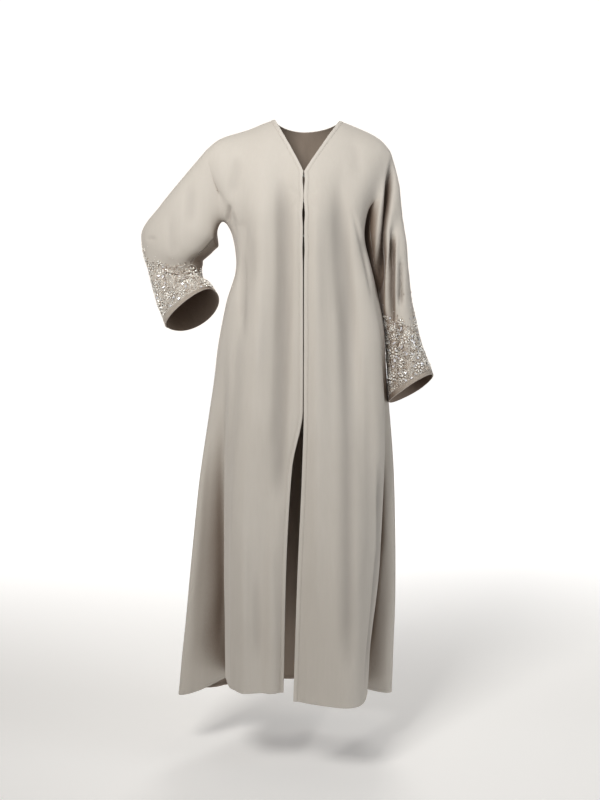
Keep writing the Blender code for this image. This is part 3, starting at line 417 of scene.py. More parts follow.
def yoke_ends(panel, way):
    # base point, shoulder point and the two handles of each section
    side, front = side_of(panel), panel.startswith("front")
    way = np.atleast_1d(np.asarray(way, float))
    body = np.clip(way, 0, 1)
    arm = np.clip(way - 1, 0, 1)
    line = SHOULDER[side]
    top_body = through(column(line, 1), np.array([r[2:5] for r in line]), body)
    if not front:
        neck = NECK_WAY[side]
        q = np.clip(body / neck, 0, 1)
        n_pt = through(column(line, 1), np.array([r[2:5] for r in line]), np.array([neck]))[0]
        bow = np.stack([n_pt[0] * np.sin(q * math.pi / 2) ** 1.1,
                        BACK_NECK[0] * np.cos(q * math.pi / 2) ** 0.9,
                        n_pt[2] + (BACK_NECK[1] - n_pt[2]) * np.cos(q * math.pi / 2) ** 1.3], axis=1)
        top_body = np.where((body < neck)[:, None], bow, top_body)
    base_body = skirt(panel, body, 1.0)
    b, t, up, fwd, along, k_front, k_back, sag = sleeve_frame(side, arm)
    on_arm = way > 1
    base = np.where(on_arm[:, None], b, base_body)
    top = np.where(on_arm[:, None], t, top_body)
    sign = 1.0 if front else -1.0
    k = (k_front if front else k_back)[:, None] / 0.75
    fade = (1 - ease((way - 1) / 0.30))[:, None]
    rise, reach, hold = ROOTS[panel]
    aside = np.array([-1.0 if side == "right" else 1.0, 0.0, 0.0])
    arm_base = sign * fwd * k * (1 - hold * fade) + fade * (rise * up + reach * aside)
    if not front:
        droop = along * CUFF_DROOP[side] * ease((arm - 0.72) / 0.28)[:, None]
        arm_base = arm_base - up * sag[:, None] / 0.42 * (1 - fade) + droop
    arm_top = sign * fwd * k + (0.0 if front else droop)
    z = np.zeros(len(way))
    if front:
        body_base = np.stack([z, z, z + 0.080], axis=1)
        body_top = np.stack([z, z - 0.055, z - 0.020], axis=1)
    else:
        flat = np.clip(1 - body / NECK_WAY[side], 0, 1)
        body_base = np.stack([z, z + 0.004, z + 0.095], axis=1)
        body_top = np.stack([z, 0.050 - 0.032 * flat, -0.018 - 0.030 * flat], axis=1)
    mix = ease((body - 0.50) / 0.50)[:, None]
    return base, top, (1 - mix) * body_base + mix * arm_base, (1 - mix) * body_top + mix * arm_top


def yoke_plain(panel, way, up):
    base, top, h0, h1 = yoke_ends(panel, way)
    q = np.atleast_1d(np.asarray(up, float))[:, None]
    return ((1 - q) ** 3 * base + 3 * (1 - q) ** 2 * q * (base + h0)
            + 3 * (1 - q) * q ** 2 * (top + h1) + q ** 3 * top)


def crease_lines(panel):
    lines = []
    for name, where, wa, ua, wb, ub, width, height in CREASES:
        if where == panel:
            q = np.linspace(0, 1, 25)
            pts = yoke_plain(panel, wa + (wb - wa) * q, ua + (ub - ua) * q)
            lines.append((pts, q, width, height))
    return lines


CREASE_LINES = {p: crease_lines(p) for p in ("front_right", "front_left", "back_right", "back_left")}


def yoke(panel, way, up):
    # points of the yoke block, with its broad creases
    way, up = np.broadcast_arrays(np.asarray(way, float), np.asarray(up, float))
    flat_way, flat_up = way.ravel(), up.ravel()
    p = yoke_plain(panel, flat_way, flat_up)
    if CREASE_LINES[panel]:
        e = 0.01
        dw = (yoke_plain(panel, np.clip(flat_way + e, 0, 2), flat_up)
              - yoke_plain(panel, np.clip(flat_way - e, 0, 2), flat_up))
        du = (yoke_plain(panel, flat_way, np.clip(flat_up + e, 0, 1))
              - yoke_plain(panel, flat_way, np.clip(flat_up - e, 0, 1)))
        out = unit(np.cross(dw, du))
        if (side_of(panel) == "right") == panel.startswith("front"):
            out = -out
        edge = ease(flat_up / 0.06) * ease((1 - flat_up) / 0.06)
        for pts, q, width, height in CREASE_LINES[panel]:
            gap = np.linalg.norm(p[:, None, :] - pts[None, :, :], axis=2)
            near = np.argmin(gap, axis=1)
            dist = gap[np.arange(len(p)), near]
            taper = np.sin(np.pi * np.clip(q[near] * 0.9 + 0.05, 0, 1)) ** 0.6
            p = p + out * (height * taper * edge * np.exp(-(dist / width) ** 2))[:, None]
    return p.reshape(way.shape + (3,))


def solve_v_way(panel, up):
    # where the V neck crosses one yoke row
    side = side_of(panel)
    neck = NECK_WAY[side]
    ways = np.linspace(0, neck, 241)
    pts = yoke_plain(panel, ways, np.full(241, up))
    n_pt = yoke_plain(panel, [neck], [1.0])[0]
    q = np.clip((pts[:, 2] - V_POINT_Z) / (n_pt[2] - V_POINT_Z), 0, 1)
    start = abs(through(column(FRONT_EDGES, 1), column(FRONT_EDGES, 2 if side == "right" else 3),
                        V_POINT_Z))
    miss = np.abs(pts[:, 0]) - (start + (abs(n_pt[0]) - start) * q ** 1.08)
    below = np.where(miss < 0)[0]
    if not len(below):
        return 0.0
    k = below[-1]
    if k + 1 >= len(ways):
        return float(ways[k])
    step = miss[k] / (miss[k] - miss[k + 1])
    return float(ways[k] + (ways[k + 1] - ways[k]) * step)


def up_at_v_point(panel):
    ups = np.linspace(0, 1, 401)
    z = yoke_plain(panel, np.zeros(401), ups)[:, 2]
    return float(np.interp(V_POINT_Z, z, ups))


def spread(first):
    # column ways: across the edge band, then even steps to the seam
    return np.concatenate([first * np.arange(BAND_COLS) / BAND_COLS,
                           first + (1 - first) * np.arange(BODY_COLS + 1) / BODY_COLS])


def length(points):
    return float(np.linalg.norm(np.diff(points, axis=0), axis=1).sum())


def sleeve_ways(side):
    way, under, over = stations(side)[:3]
    last = 1 - CUFF_WIDTH / (0.5 * (np.linalg.norm(over[-1] - over[-2])
                                    + np.linalg.norm(under[-1] - under[-2]))
                             / (way[-1] - way[-2]))
    return 1 + np.concatenate([last * np.arange(1, SLEEVE_COLS + 1) / SLEEVE_COLS,
                               last + (1 - last) * np.arange(1, CUFF_COLS + 1) / CUFF_COLS])


# ----------------------------------------------------------- panel grids --
# columns run from the centre edge to the cuff, rows from the hem to the top;
# the skirt rows stop at the side seam

SKIRT_V = np.concatenate([[0.0, 0.0016, 0.0038, 0.0054, 0.0066],
                          np.linspace(0.0110, 1.0, SKIRT_ROWS - 4)])
SEAM_COL = BAND_COLS + BODY_COLS          # the side seam's column in a front
SEAM_ROW = SKIRT_ROWS                     # the armpit's row


def front_grid(panel):
    side = side_of(panel)
    fine = np.linspace(0, 1, 101)
    v_up = up_at_v_point(panel)
    ups = np.concatenate([[0.0], v_up * np.arange(1, CHEST_ROWS + 1) / CHEST_ROWS,
                          v_up + (1 - v_up) * np.arange(1, NECK_ROWS + 1) / NECK_ROWS])
    arms = sleeve_ways(side)
    grid = np.full((SEAM_COL + 1 + len(arms), SEAM_ROW + len(ups), 3), np.nan)
    for j, v in enumerate(SKIRT_V):
        total = length(skirt(panel, fine, v))
        grid[:SEAM_COL + 1, j] = skirt(panel, spread(BAND_WIDTH / total), v)
    for k, up in enumerate(ups):
        start = solve_v_way(panel, up) if up > v_up + 1e-6 else 0.0
        if k == len(ups) - 1:
            start = NECK_WAY[side]
        body = start + (1 - start) * fine
        total = length(yoke(panel, body, np.full(101, up)))
        ways = np.concatenate([start + (1 - start) * spread(BAND_WIDTH / total), arms])
        row = yoke(panel, ways, np.full(len(ways), up))
        if k == 0:
            grid[SEAM_COL + 1:, SEAM_ROW] = row[SEAM_COL + 1:]
        else:
            grid[:, SEAM_ROW + k] = row
    return grid


def back_half(side):
    panel, neck = "back_" + side, NECK_WAY[side]
    fine = neck + (1 - neck) * np.linspace(0, 1, 101)
    total = length(yoke("front_" + side, fine, np.ones(101)))
    outer = neck + (1 - neck) * spread(BAND_WIDTH / total)
    ways = np.concatenate([neck * np.arange(NECK_COLS) / NECK_COLS, outer])
    all_ways = np.concatenate([ways, sleeve_ways(side)])
    rows = CHEST_ROWS + NECK_ROWS
    grid = np.full((len(all_ways), SEAM_ROW + 1 + rows, 3), np.nan)
    for j, v in enumerate(SKIRT_V):
        grid[:len(ways), j] = skirt(panel, ways, v)
    fine = np.linspace(0, 1, 41)
    for i, way in enumerate(all_ways):
        total = length(yoke(panel, np.full(41, way), fine))
        last = 1 - BAND_WIDTH / total
        ups = np.concatenate([last * np.arange(rows - BAND_COLS + 1) / (rows - BAND_COLS),
                              last + (1 - last) * np.arange(1, BAND_COLS + 1) / BAND_COLS])
        pts = yoke(panel, np.full(len(ups), way), ups)
        first = 1 if i < len(ways) else 0
        grid[i, SEAM_ROW + first:] = pts[first:]
    return grid


front_r, front_l = front_grid("front_right"), front_grid("front_left")
half_r, half_l = back_half("right"), back_half("left")
MID = half_r.shape[0] - 1                 # the centre back's column
back = np.concatenate([half_r[::-1], half_l[1:]], axis=0)
grids = {"front_right": front_r, "front_left": front_l, "back": back}
flips = {"front_right": True, "front_left": False, "back": True}

# one number for each point of the whole garment, shared across its seams
ids, have, total_points = {}, {}, 0
for name, grid in grids.items():
    have[name] = ~np.isnan(grid[..., 0])
    ids[name] = np.full(grid.shape[:2], -1)
    ids[name][have[name]] = total_points + np.arange(have[name].sum())
    total_points += int(have[name].sum())
for name, sign in (("front_right", -1), ("front_left", 1)):
    back_seam = NECK_COLS + SEAM_COL
    last = grids[name].shape[0]
    for j in range(SEAM_ROW + 1):
        ids["back"][MID + sign * back_seam, j] = ids[name][SEAM_COL, j]
    for i in range(SEAM_COL, last):
        ids["back"][MID + sign * (NECK_COLS + i), SEAM_ROW] = ids[name][i, SEAM_ROW]
    for i in range(last):
        ids["back"][MID + sign * (NECK_COLS + i), -1] = ids[name][i, -1]

points = np.zeros((total_points, 3))
for name in ("back", "front_right", "front_left"):
    points[ids[name][have[name]]] = grids[name][have[name]]


def link_pairs():
    pairs = []
    for name in grids:
        n, h = ids[name], have[name]
        for a, b, ok in ((n[:-1], n[1:], h[:-1] & h[1:]),
                         (n[:, :-1], n[:, 1:], h[:, :-1] & h[:, 1:])):
            pairs.append(np.stack([a[ok], b[ok]], axis=1))
    pairs = np.unique(np.sort(np.concatenate(pairs), axis=1), axis=0)
    return pairs


PAIRS = link_pairs()


def relax(points, pull, passes, step=0.5):
    # evens out the cloth where pull is above 0
    moving = pull > 0
    keep = moving[PAIRS[:, 0]] | moving[PAIRS[:, 1]]
    near = PAIRS[keep]
    used, back_to = np.unique(near, return_inverse=True)
    near = back_to.reshape(near.shape)
    p = points[used]
    count = np.bincount(near.ravel(), minlength=len(used)).astype(float)[:, None]
    gain = (step * pull[used])[:, None]
    src = np.concatenate([near[:, 0], near[:, 1]])
    dst = np.concatenate([near[:, 1], near[:, 0]])
    order = np.argsort(dst, kind="stable")
    src, dst = src[order], dst[order]
    starts = np.searchsorted(dst, np.arange(len(used)))
    for _ in range(passes):
        mean = np.add.reduceat(p[src], starts, axis=0) / count
        p = p + (mean - p) * gain
    out = points.copy()
    out[used] = p
    return out


pull = np.zeros(total_points)
for side in ("right", "left"):
    spot = np.array(SLEEVES[side][0][1:4]) + np.array(ARMPIT_SHIFT[side])
    gap = np.linalg.norm(points - spot, axis=1)
    pull = np.maximum(pull, ease(1.4 * (1 - gap / ARMPIT_EASE[side])))
points = relax(points, pull, EASE_PASSES)

# the back is evened out below the two ends of the neckline
pull = np.zeros(total_points)
below = np.unique(ids["back"][have["back"]])
bx, by, bz = points[below].T
pull[below] = (ease(1.5 - np.abs(np.abs(bx) - 0.075) / 0.024) * ease((-0.034 - bz) / 0.030)
               * ease((bz + 0.300) / 0.080) * (by > 0.0))
pull = np.maximum(pull, 0)
points = relax(points, pull, 70)


def cells_of(name):
    h = have[name]
    ii, jj = np.nonzero(h[:-1, :-1] & h[1:, :-1] & h[:-1, 1:] & h[1:, 1:])
    n = ids[name]
    quads = np.stack([n[ii, jj], n[ii + 1, jj], n[ii + 1, jj + 1], n[ii, jj + 1]], axis=1)
    return quads[:, ::-1] if flips[name] else quads


QUADS = {name: cells_of(name) for name in grids}


def outward(points):
    total = np.zeros_like(points)
    for quads in QUADS.values():
        a, b, c, d = (points[quads[:, k]] for k in range(4))
        n = np.cross(c - a, d - b)
        for k in range(4):
            np.add.at(total, quads[:, k], n)
    return unit(total)


PAINTED_CREASE_SHADE = np.zeros(total_points)      # painted shade: how much each point's colour is darkened for lying in a crease hollow


def smooth_course(course):
    pts = np.array(course, float)
    run = np.concatenate([[0], np.cumsum(np.linalg.norm(np.diff(pts, axis=0), axis=1))])
    count = max(48, int(run[-1] / 0.008))
    return through(run, pts, np.linspace(0, run[-1], count))


def press(points, normals):
    # adds the sharper creases of every panel
    push = np.zeros(len(points))
    seen = np.zeros(len(points))
    for name in grids:
        n = ids[name][have[name]]
        seen[n] += 1
        x, z = points[n, 0], points[n, 2]
        facing = -normals[n, 1] if name.startswith("front") else normals[n, 1]
        local = np.zeros(len(n))
        for crease, where, low, high, height, fade, course in PRESSED:
            if where != name:
                continue
            line = smooth_course(course)
            reach = 3.2 * max(low, high)
            near = ((x > line[:, 0].min() - reach) & (x < line[:, 0].max() + reach)
                    & (z > line[:, 1].min() - reach) & (z < line[:, 1].max() + reach)
                    & (facing > -0.2))
            idx = np.nonzero(near)[0]
            if not len(idx):
                continue
            here = np.stack([x[idx], z[idx]], axis=1)
            gap = np.linalg.norm(here[:, None] - line[None], axis=2)
            k = np.argmin(gap, axis=1)
            along = unit(np.gradient(line, axis=0))[k]
            off = here - line[k]
            step = np.linalg.norm(line[1] - line[0])
            slid = np.clip((off * along).sum(axis=1), -step, step)
            off = off - along * (slid * ((k > 0) & (k < len(line) - 1)))[:, None]
            dist = np.linalg.norm(off, axis=1)
            # low-x side of a course that runs mostly up and down
            lean = np.where(np.abs(along[:, 1]) > 0.35, off[:, 0], off[:, 1])
            width = np.where(lean < 0, low, high)
            q = np.clip((k + slid / step) / (len(line) - 1), 0, 1)
            taper = ease(q / fade) * ease((1 - q) / fade)
            taper = np.maximum(taper, 0)
            local[idx] += (height * taper * np.exp(-(dist / width) ** 2)
                           * ease((facing[idx] + 0.2) / 0.5))
        push[n] += local
    push = push / np.maximum(seen, 1)
    # painted shade for the hollows of the pressed creases, with a small negative value on ridges
    PAINTED_CREASE_SHADE[:] = np.clip((-push - 0.0015) / 0.0085, 0, 1) * 0.50 - np.clip(push / 0.005, 0, 1) * 0.06
    return points + normals * push[:, None]


def ripple(points):
    # very soft unevenness of hanging cloth
    x, y, z = points.T
    a = np.sin(37 * x + 11 * z + 1.3 * np.sin(5 * z + 2)) * np.sin(9 * z + 23 * y + 0.7)
    b = np.sin(71 * x - 19 * z + 2.1 + 1.7 * np.sin(8 * z)) * np.sin(6 * z + 1.9)
    return 0.0007 * a + 0.0004 * b


# the left sleeve hangs close along the flank, its inner side drawn in most
grid_ids = (("front_left", ids["front_left"][SEAM_COL:], 0), ("back", ids["back"][MID + NECK_COLS + SEAM_COL:], 1))
move = np.zeros((total_points, 3))
for name, block, rear in grid_ids:
    for i in range(block.shape[0]):
        column_ids = block[i, SEAM_ROW:]
        column_ids = column_ids[column_ids >= 0]
        up = np.arange(len(column_ids)) / (len(column_ids) - 1)
        z = points[column_ids, 2]
        start = float(ease(i / 9.0))
        seam = through((-0.66, -0.60, -0.55, -0.50, -0.45, -0.20), (0.005, 0.006, 0.009, 0.011, 0.013, 0.012), z)
        rear_in = through((-0.66, -0.60, -0.55, -0.45, -0.20), (0.006, 0.0125, 0.0155, 0.0155, 0.0130), z)
        draw = seam * (1 - ease(up / 0.42)) if not rear else (
            seam * (1 - ease(up / 0.10)) + rear_in * ease(up / 0.10) * (1 - ease((up - 0.12) / 0.40)))
        move[column_ids, 0] = -start * draw
points += move
# and its shoulder stands out a little over the arm
far_out = ease((points[:, 0] - 0.188) / 0.022) * np.exp(-((points[:, 2] + 0.142) / 0.045) ** 2)
points[:, 0] += 0.0085 * far_out
# and the upper arm's outer line runs straighter
line_out = through((-0.45, -0.40, -0.36, -0.33, -0.29, -0.25, -0.228, -0.205, -0.18, -0.14, -0.10, -0.07, -0.03),
                   (0, 0, -0.002, -0.0045, -0.0045, -0.005, -0.004, 0.001, 0.0035, 0.0035, 0.006, 0.004, 0),
                   np.clip(points[:, 2], -0.45, -0.03))
points[:, 0] += line_out * ease((points[:, 0] - 0.180) / 0.030)

# the front edges part between the studs and pinch together at them
def parting(z):
    return (0.0019 * np.exp(-((z + 0.136) / 0.013) ** 2) + 0.0017 * np.exp(-((z + 0.214) / 0.017) ** 2)
            + 0.0010 * np.exp(-((z + 0.292) / 0.024) ** 2) - 0.0009 * np.exp(-((z + 0.174) / 0.012) ** 2))


for name, sign in (("front_right", -1), ("front_left", 1)):
    n, h = ids[name], have[name]
    for i in range(0, 16):
        rows = np.nonzero(h[i])[0]
        spot = n[i, rows]
        z = points[n[0, np.minimum(rows, n.shape[1] - 1)], 2]
        points[spot, 0] += sign * parting(z) * (1 - ease((i - BAND_COLS) / 12.0)) * (z < -0.118)

normals = outward(points)
points = press(points, normals)
normals = outward(points)
points = points + normals * ripple(points)[:, None]

# hem: slight puckers where the turned-up edge is stitched
for name in grids:
    n = ids[name]
    cols = np.nonzero(have[name][:, 0])[0]
    run = np.concatenate([[0], np.cumsum(np.linalg.norm(np.diff(points[n[cols, 0]], axis=0), axis=1))])
    wave = (np.sin(run * 2 * math.pi / 0.019) + 0.7 * np.sin(run * 2 * math.pi / 0.0313 + 1.1)
            + 0.5 * np.sin(run * 2 * math.pi / 0.0117 + 2.3))
    for j in range(14):
        amount = 0.00030 * math.exp(-(j - 3) ** 2 / 14.0)
        inside = cols[1:-1]
        points[n[inside, j]] += normals[n[inside, j]] * (amount * wave[1:-1])[:, None]

# seams sit a little low
seam_ids = []
for sign, name in ((-1, "front_right"), (1, "front_left")):
    last = grids[name].shape[0]
    seam_ids += list(ids[name][SEAM_COL, :SEAM_ROW + 1])
    seam_ids += list(ids[name][SEAM_COL:last, SEAM_ROW])
    seam_ids += list(ids[name][:, -1])
seam_ids = np.unique(seam_ids)
normals = outward(points)
points[seam_ids] -= normals[seam_ids] * 0.0005
normals = outward(points)


# painted shade: how much the under-arm sides of the sleeves are darkened in the cloth colour, where they lie in the
# garment's own shade
SHADE = np.zeros(total_points)
for side, sign in (("right", -1), ("left", 1)):
    front, last = ids["front_" + side], ids["front_" + side].shape[0]
    for i in range(SEAM_COL, last):
        near_cuff = ease((last - 1 - i - 40) / 26.0) if side == "right" else 1.0
        start = ease((i - SEAM_COL) / 7.0)
        column_ids = ids["back"][MID + sign * (NECK_COLS + i), SEAM_ROW + 1:]
        up = (1 + np.arange(len(column_ids))) / len(column_ids)
        reach = 0.30 if side == "right" else 0.36
        deep = 0.95 * ease((i - SEAM_COL - 20) / 40.0) if side == "right" else 0.40
        SHADE[column_ids] = np.maximum(SHADE[column_ids], deep * start * near_cuff * (1 - ease(up / reach)))
        # painted shade also on the left sleeve's front, along its inner side next to the body
        if side == "left":
            column_ids = front[i, SEAM_ROW:]
            up = np.arange(len(column_ids)) / (len(column_ids) - 1)
            SHADE[column_ids] = np.maximum(SHADE[column_ids], 0.45 * start * (1 - ease(up / 0.26)))


# ---------------------------------------------------------------- meshing --


def new_object(name, verts, faces, material, smooth=True, second=None, which=None):
    mesh = bpy.data.meshes.new(name)
    verts = np.asarray(verts, float)
    faces = [np.asarray(f) for f in faces]
    sizes = np.concatenate([np.full(len(f), f.shape[1]) for f in faces])
    loops = np.concatenate([f.ravel() for f in faces]).astype(np.int32)
    mesh.vertices.add(len(verts))
    mesh.vertices.foreach_set("co", verts.astype(np.float32).ravel())
    mesh.loops.add(len(loops))
    mesh.loops.foreach_set("vertex_index", loops)
    mesh.polygons.add(len(sizes))
    starts = np.concatenate([[0], np.cumsum(sizes)[:-1]]).astype(np.int32)
    mesh.polygons.foreach_set("loop_start", starts)
    mesh.polygons.foreach_set("use_smooth", np.full(len(sizes), smooth))
    mesh.materials.append(material)
    if second is not None:
        mesh.materials.append(second)
        mesh.polygons.foreach_set("material_index", np.asarray(which, np.int32))
    mesh.update(calc_edges=True)
    mesh.validate()
    obj = bpy.data.objects.new(name, mesh)
    bpy.context.scene.collection.objects.link(obj)
    return obj


def shell(name, material, inside):
    # closed thin wall of one panel
    quads = QUADS[name]
    used, local = np.unique(quads, return_inverse=True)
    local = local.reshape(quads.shape)
    outer = points[used]
    thick = np.full(len(used), CLOTH)
    rows = np.full(total_points, 99)
    rows[ids[name][have[name]]] = np.nonzero(have[name])[1]
    turned = rows[used] <= 3
    thick[turned] = CLOTH * 2.2
    inner = outer - normals[used] * thick[:, None]
    outer = outer + normals[used] * (np.where(turned, 0.0003, 0.0))[:, None]
    count = len(used)
    a = np.concatenate([local[:, [k, (k + 1) % 4]] for k in range(4)])
    key = a[:, 0].astype(np.int64) * count + a[:, 1]
    other = a[:, 1].astype(np.int64) * count + a[:, 0]
    rim = a[~np.isin(key, other)]
    walls = np.stack([rim[:, 1], rim[:, 0], rim[:, 0] + count, rim[:, 1] + count], axis=1)
    # painted shade of the under-arm sides, carried on the mesh as a point attribute
    shade = np.concatenate([SHADE[used], SHADE[used]])
    obj = new_object(name + "_cloth", np.concatenate([outer, inner]),
                     [local, local[:, ::-1] + count, walls], material, second=inside,
                     which=np.repeat([0, 1, 0], [len(local), len(local), len(walls)]))
    # painted shade of the crease hollows, carried on the mesh as a point attribute
    painted_crease_shade = np.concatenate([PAINTED_CREASE_SHADE[used], PAINTED_CREASE_SHADE[used]])
    for layer, values in (("shade", shade), ("painted_crease_shade", painted_crease_shade)):
        held = obj.data.attributes.new(layer, "FLOAT", "POINT")
        held.data.foreach_set("value", values.astype(np.float32))
    return obj


# -------------------------------------------------------------- materials --


def tree_of(name):
    mat = bpy.data.materials.new(name)
    mat.use_nodes = True
    nodes, links = mat.node_tree.nodes, mat.node_tree.links
    return mat, nodes, links, nodes["Principled BSDF"]


def node(nodes, kind, **values):
    made = nodes.new(kind)
    for key, value in values.items():
        if hasattr(made, key):
            setattr(made, key, value)
        else:
            made.inputs[key.replace("_", " ")].default_value = value
    return made


def crepe_material(name, colour, dark, light, rough=0.80, sheen=0.35, weave=1.0, inside=None):
    # matt crepe: fine pebbled weave, faint lengthwise streaks, soft sheen; with painted shade in deep folds, on the
    # marked under-arm sides and in crease hollows
    mat, nodes, links, shader = tree_of(name)
    place = nodes.new("ShaderNodeTexCoord")
    shader.inputs["Roughness"].default_value = rough
    shader.inputs["Sheen Weight"].default_value = sheen
    shader.inputs["Sheen Roughness"].default_value = 0.45
    shader.inputs["Sheen Tint"].default_value = (0.95, 0.90, 0.86, 1)
    shader.inputs["Specular IOR Level"].default_value = 0.25
    big = node(nodes, "ShaderNodeTexNoise", Scale=3.2, Detail=3.0, Roughness=0.5)
    links.new(place.outputs["Object"], big.inputs["Vector"])
    streak_map = node(nodes, "ShaderNodeMapping")
    streak_map.inputs["Scale"].default_value = (160.0, 160.0, 7.0)
    links.new(place.outputs["Object"], streak_map.inputs["Vector"])
    streak = node(nodes, "ShaderNodeTexNoise", Scale=1.0, Detail=4.0, Roughness=0.6)
    links.new(streak_map.outputs["Vector"], streak.inputs["Vector"])
    fine = node(nodes, "ShaderNodeTexNoise", Scale=1500.0, Detail=2.0, Roughness=0.6)
    links.new(place.outputs["Object"], fine.inputs["Vector"])
    ramp = nodes.new("ShaderNodeValToRGB")
    ramp.color_ramp.elements[0].position = 0.30
    ramp.color_ramp.elements[0].color = dark + (1,)
    ramp.color_ramp.elements[1].position = 0.72
    ramp.color_ramp.elements[1].color = light + (1,)
    middle = ramp.color_ramp.elements.new(0.5)
    middle.color = colour + (1,)
    mix = node(nodes, "ShaderNodeMath", operation="MULTIPLY_ADD")
    links.new(streak.outputs["Fac"], mix.inputs[0])
    mix.inputs[1].default_value = 0.35
    links.new(big.outputs["Fac"], mix.inputs[2])
    shift = node(nodes, "ShaderNodeMath", operation="ADD")
    links.new(mix.outputs[0], shift.inputs[0])
    shift.inputs[1].default_value = -0.175
    links.new(shift.outputs[0], ramp.inputs["Fac"])
    grain = node(nodes, "ShaderNodeMix", data_type="RGBA", blend_type="MULTIPLY")
    grain.inputs["Factor"].default_value = 0.16
    links.new(ramp.outputs["Color"], grain.inputs["A"])
    links.new(fine.outputs["Color"], grain.inputs["B"])
    # painted shade: the colour is darkened and browned where ambient occlusion finds deep folds, standing in for
    # light there that has bounced off cloth many times
    ao_painted_shade = node(nodes, "ShaderNodeAmbientOcclusion", samples=8)
    ao_painted_shade.inputs["Distance"].default_value = 0.13
    depth = node(nodes, "ShaderNodeMapRange")
    depth.interpolation_type = "SMOOTHSTEP"
    depth.inputs["From Min"].default_value = 0.25
    depth.inputs["From Max"].default_value = 0.86
    links.new(ao_painted_shade.outputs["AO"], depth.inputs["Value"])
    brown = node(nodes, "ShaderNodeMix", data_type="RGBA", blend_type="MULTIPLY")
    brown.inputs["Factor"].default_value = 1.0
    shade = nodes.new("ShaderNodeValToRGB")
    shade.color_ramp.elements[0].position = 0.0
    shade.color_ramp.elements[0].color = (0.34, 0.26, 0.21, 1)
    shade.color_ramp.elements[1].position = 1.0
    shade.color_ramp.elements[1].color = (1, 1, 1, 1)
    links.new(depth.outputs["Result"], shade.inputs["Fac"])
    links.new(grain.outputs["Result"], brown.inputs["A"])
    links.new(shade.outputs["Color"], brown.inputs["B"])
    # painted shade on the under-arm sides of the sleeves, read from the mesh's shade attribute
    underarm_shade_attr = node(nodes, "ShaderNodeAttribute", attribute_name="shade")
    shaded = node(nodes, "ShaderNodeMix", data_type="RGBA", blend_type="MULTIPLY")
    links.new(underarm_shade_attr.outputs["Fac"], shaded.inputs["Factor"])
    links.new(brown.outputs["Result"], shaded.inputs["A"])
    shaded.inputs["B"].default_value = (0.46, 0.36, 0.29, 1)
    # painted shade in the hollows of the pressed creases, read from a mesh attribute
    crease = node(nodes, "ShaderNodeAttribute", attribute_name="painted_crease_shade")
    folded = node(nodes, "ShaderNodeMix", data_type="RGBA", blend_type="MULTIPLY")
    links.new(crease.outputs["Fac"], folded.inputs["Factor"])
    links.new(shaded.outputs["Result"], folded.inputs["A"])
    folded.inputs["B"].default_value = (0.42, 0.415, 0.43, 1)
    colour_out = folded.outputs["Result"]
    links.new(colour_out, shader.inputs["Base Color"])
    bump = node(nodes, "ShaderNodeBump")
    bump.inputs["Strength"].default_value = 0.35 * weave
    bump.inputs["Distance"].default_value = 0.0004
    pebble = node(nodes, "ShaderNodeTexVoronoi", Scale=900.0)
    links.new(place.outputs["Object"], pebble.inputs["Vector"])
    both = node(nodes, "ShaderNodeMath", operation="ADD")
    links.new(pebble.outputs["Distance"], both.inputs[0])
    links.new(fine.outputs["Fac"], both.inputs[1])
    links.new(both.outputs[0], bump.inputs["Height"])
    links.new(bump.outputs["Normal"], shader.inputs["Normal"])
    return mat


def shiny_material(name, colour, rough, metal, coat=0.0, vary=0.12, scale=400.0):
    mat, nodes, links, shader = tree_of(name)
    place = nodes.new("ShaderNodeTexCoord")
    noise = node(nodes, "ShaderNodeTexNoise", Scale=scale, Detail=2.0)
    links.new(place.outputs["Object"], noise.inputs["Vector"])
    ramp = nodes.new("ShaderNodeValToRGB")
    ramp.color_ramp.elements[0].position = 0.35
    ramp.color_ramp.elements[0].color = tuple(c * (1 - vary) for c in colour) + (1,)
    ramp.color_ramp.elements[1].position = 0.65
    ramp.color_ramp.elements[1].color = tuple(min(1.0, c * (1 + vary)) for c in colour) + (1,)
    links.new(noise.outputs["Fac"], ramp.inputs["Fac"])
    links.new(ramp.outputs["Color"], shader.inputs["Base Color"])
    spread_rough = node(nodes, "ShaderNodeMapRange")
    spread_rough.inputs["To Min"].default_value = rough * 0.75
    spread_rough.inputs["To Max"].default_value = rough * 1.3
    links.new(noise.outputs["Fac"], spread_rough.inputs["Value"])
    links.new(spread_rough.outputs["Result"], shader.inputs["Roughness"])
    shader.inputs["Metallic"].default_value = metal
    shader.inputs["Coat Weight"].default_value = coat
    shader.inputs["Coat Roughness"].default_value = 0.08
    return mat


crepe = crepe_material("crepe", (0.580, 0.539, 0.486), (0.555, 0.514, 0.461), (0.600, 0.560, 0.508))
# painted shade: the inside faces get a darker, browner copy of the crepe, standing in for the shade inside the
# garment
crepe_inside_painted_shade = crepe_material("crepe_inside_painted_shade", (0.370, 0.300, 0.245), (0.345, 0.278, 0.225),
                              (0.395, 0.322, 0.265), sheen=0.15)
edging = crepe_material("edging", (0.605, 0.564, 0.511), (0.575, 0.534, 0.481), (0.630, 0.589, 0.536))
corded = crepe_material("corded_edge", (0.500, 0.445, 0.385), (0.440, 0.385, 0.330), (0.600, 0.550, 0.490), sheen=0.5)
thread = crepe_material("thread", (0.520, 0.470, 0.405), (0.480, 0.430, 0.370), (0.580, 0.530, 0.460), rough=0.6)
stud = shiny_material("stud_metal", (0.66, 0.65, 0.62), 0.30, 1.0)

cloth = {}
for name in grids:
    piece = shell(name, crepe, crepe_inside_painted_shade)
    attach(piece, "root")
    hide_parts(name)
    cloth[name] = piece

# ------------------------------------------------- bands on the free edges --


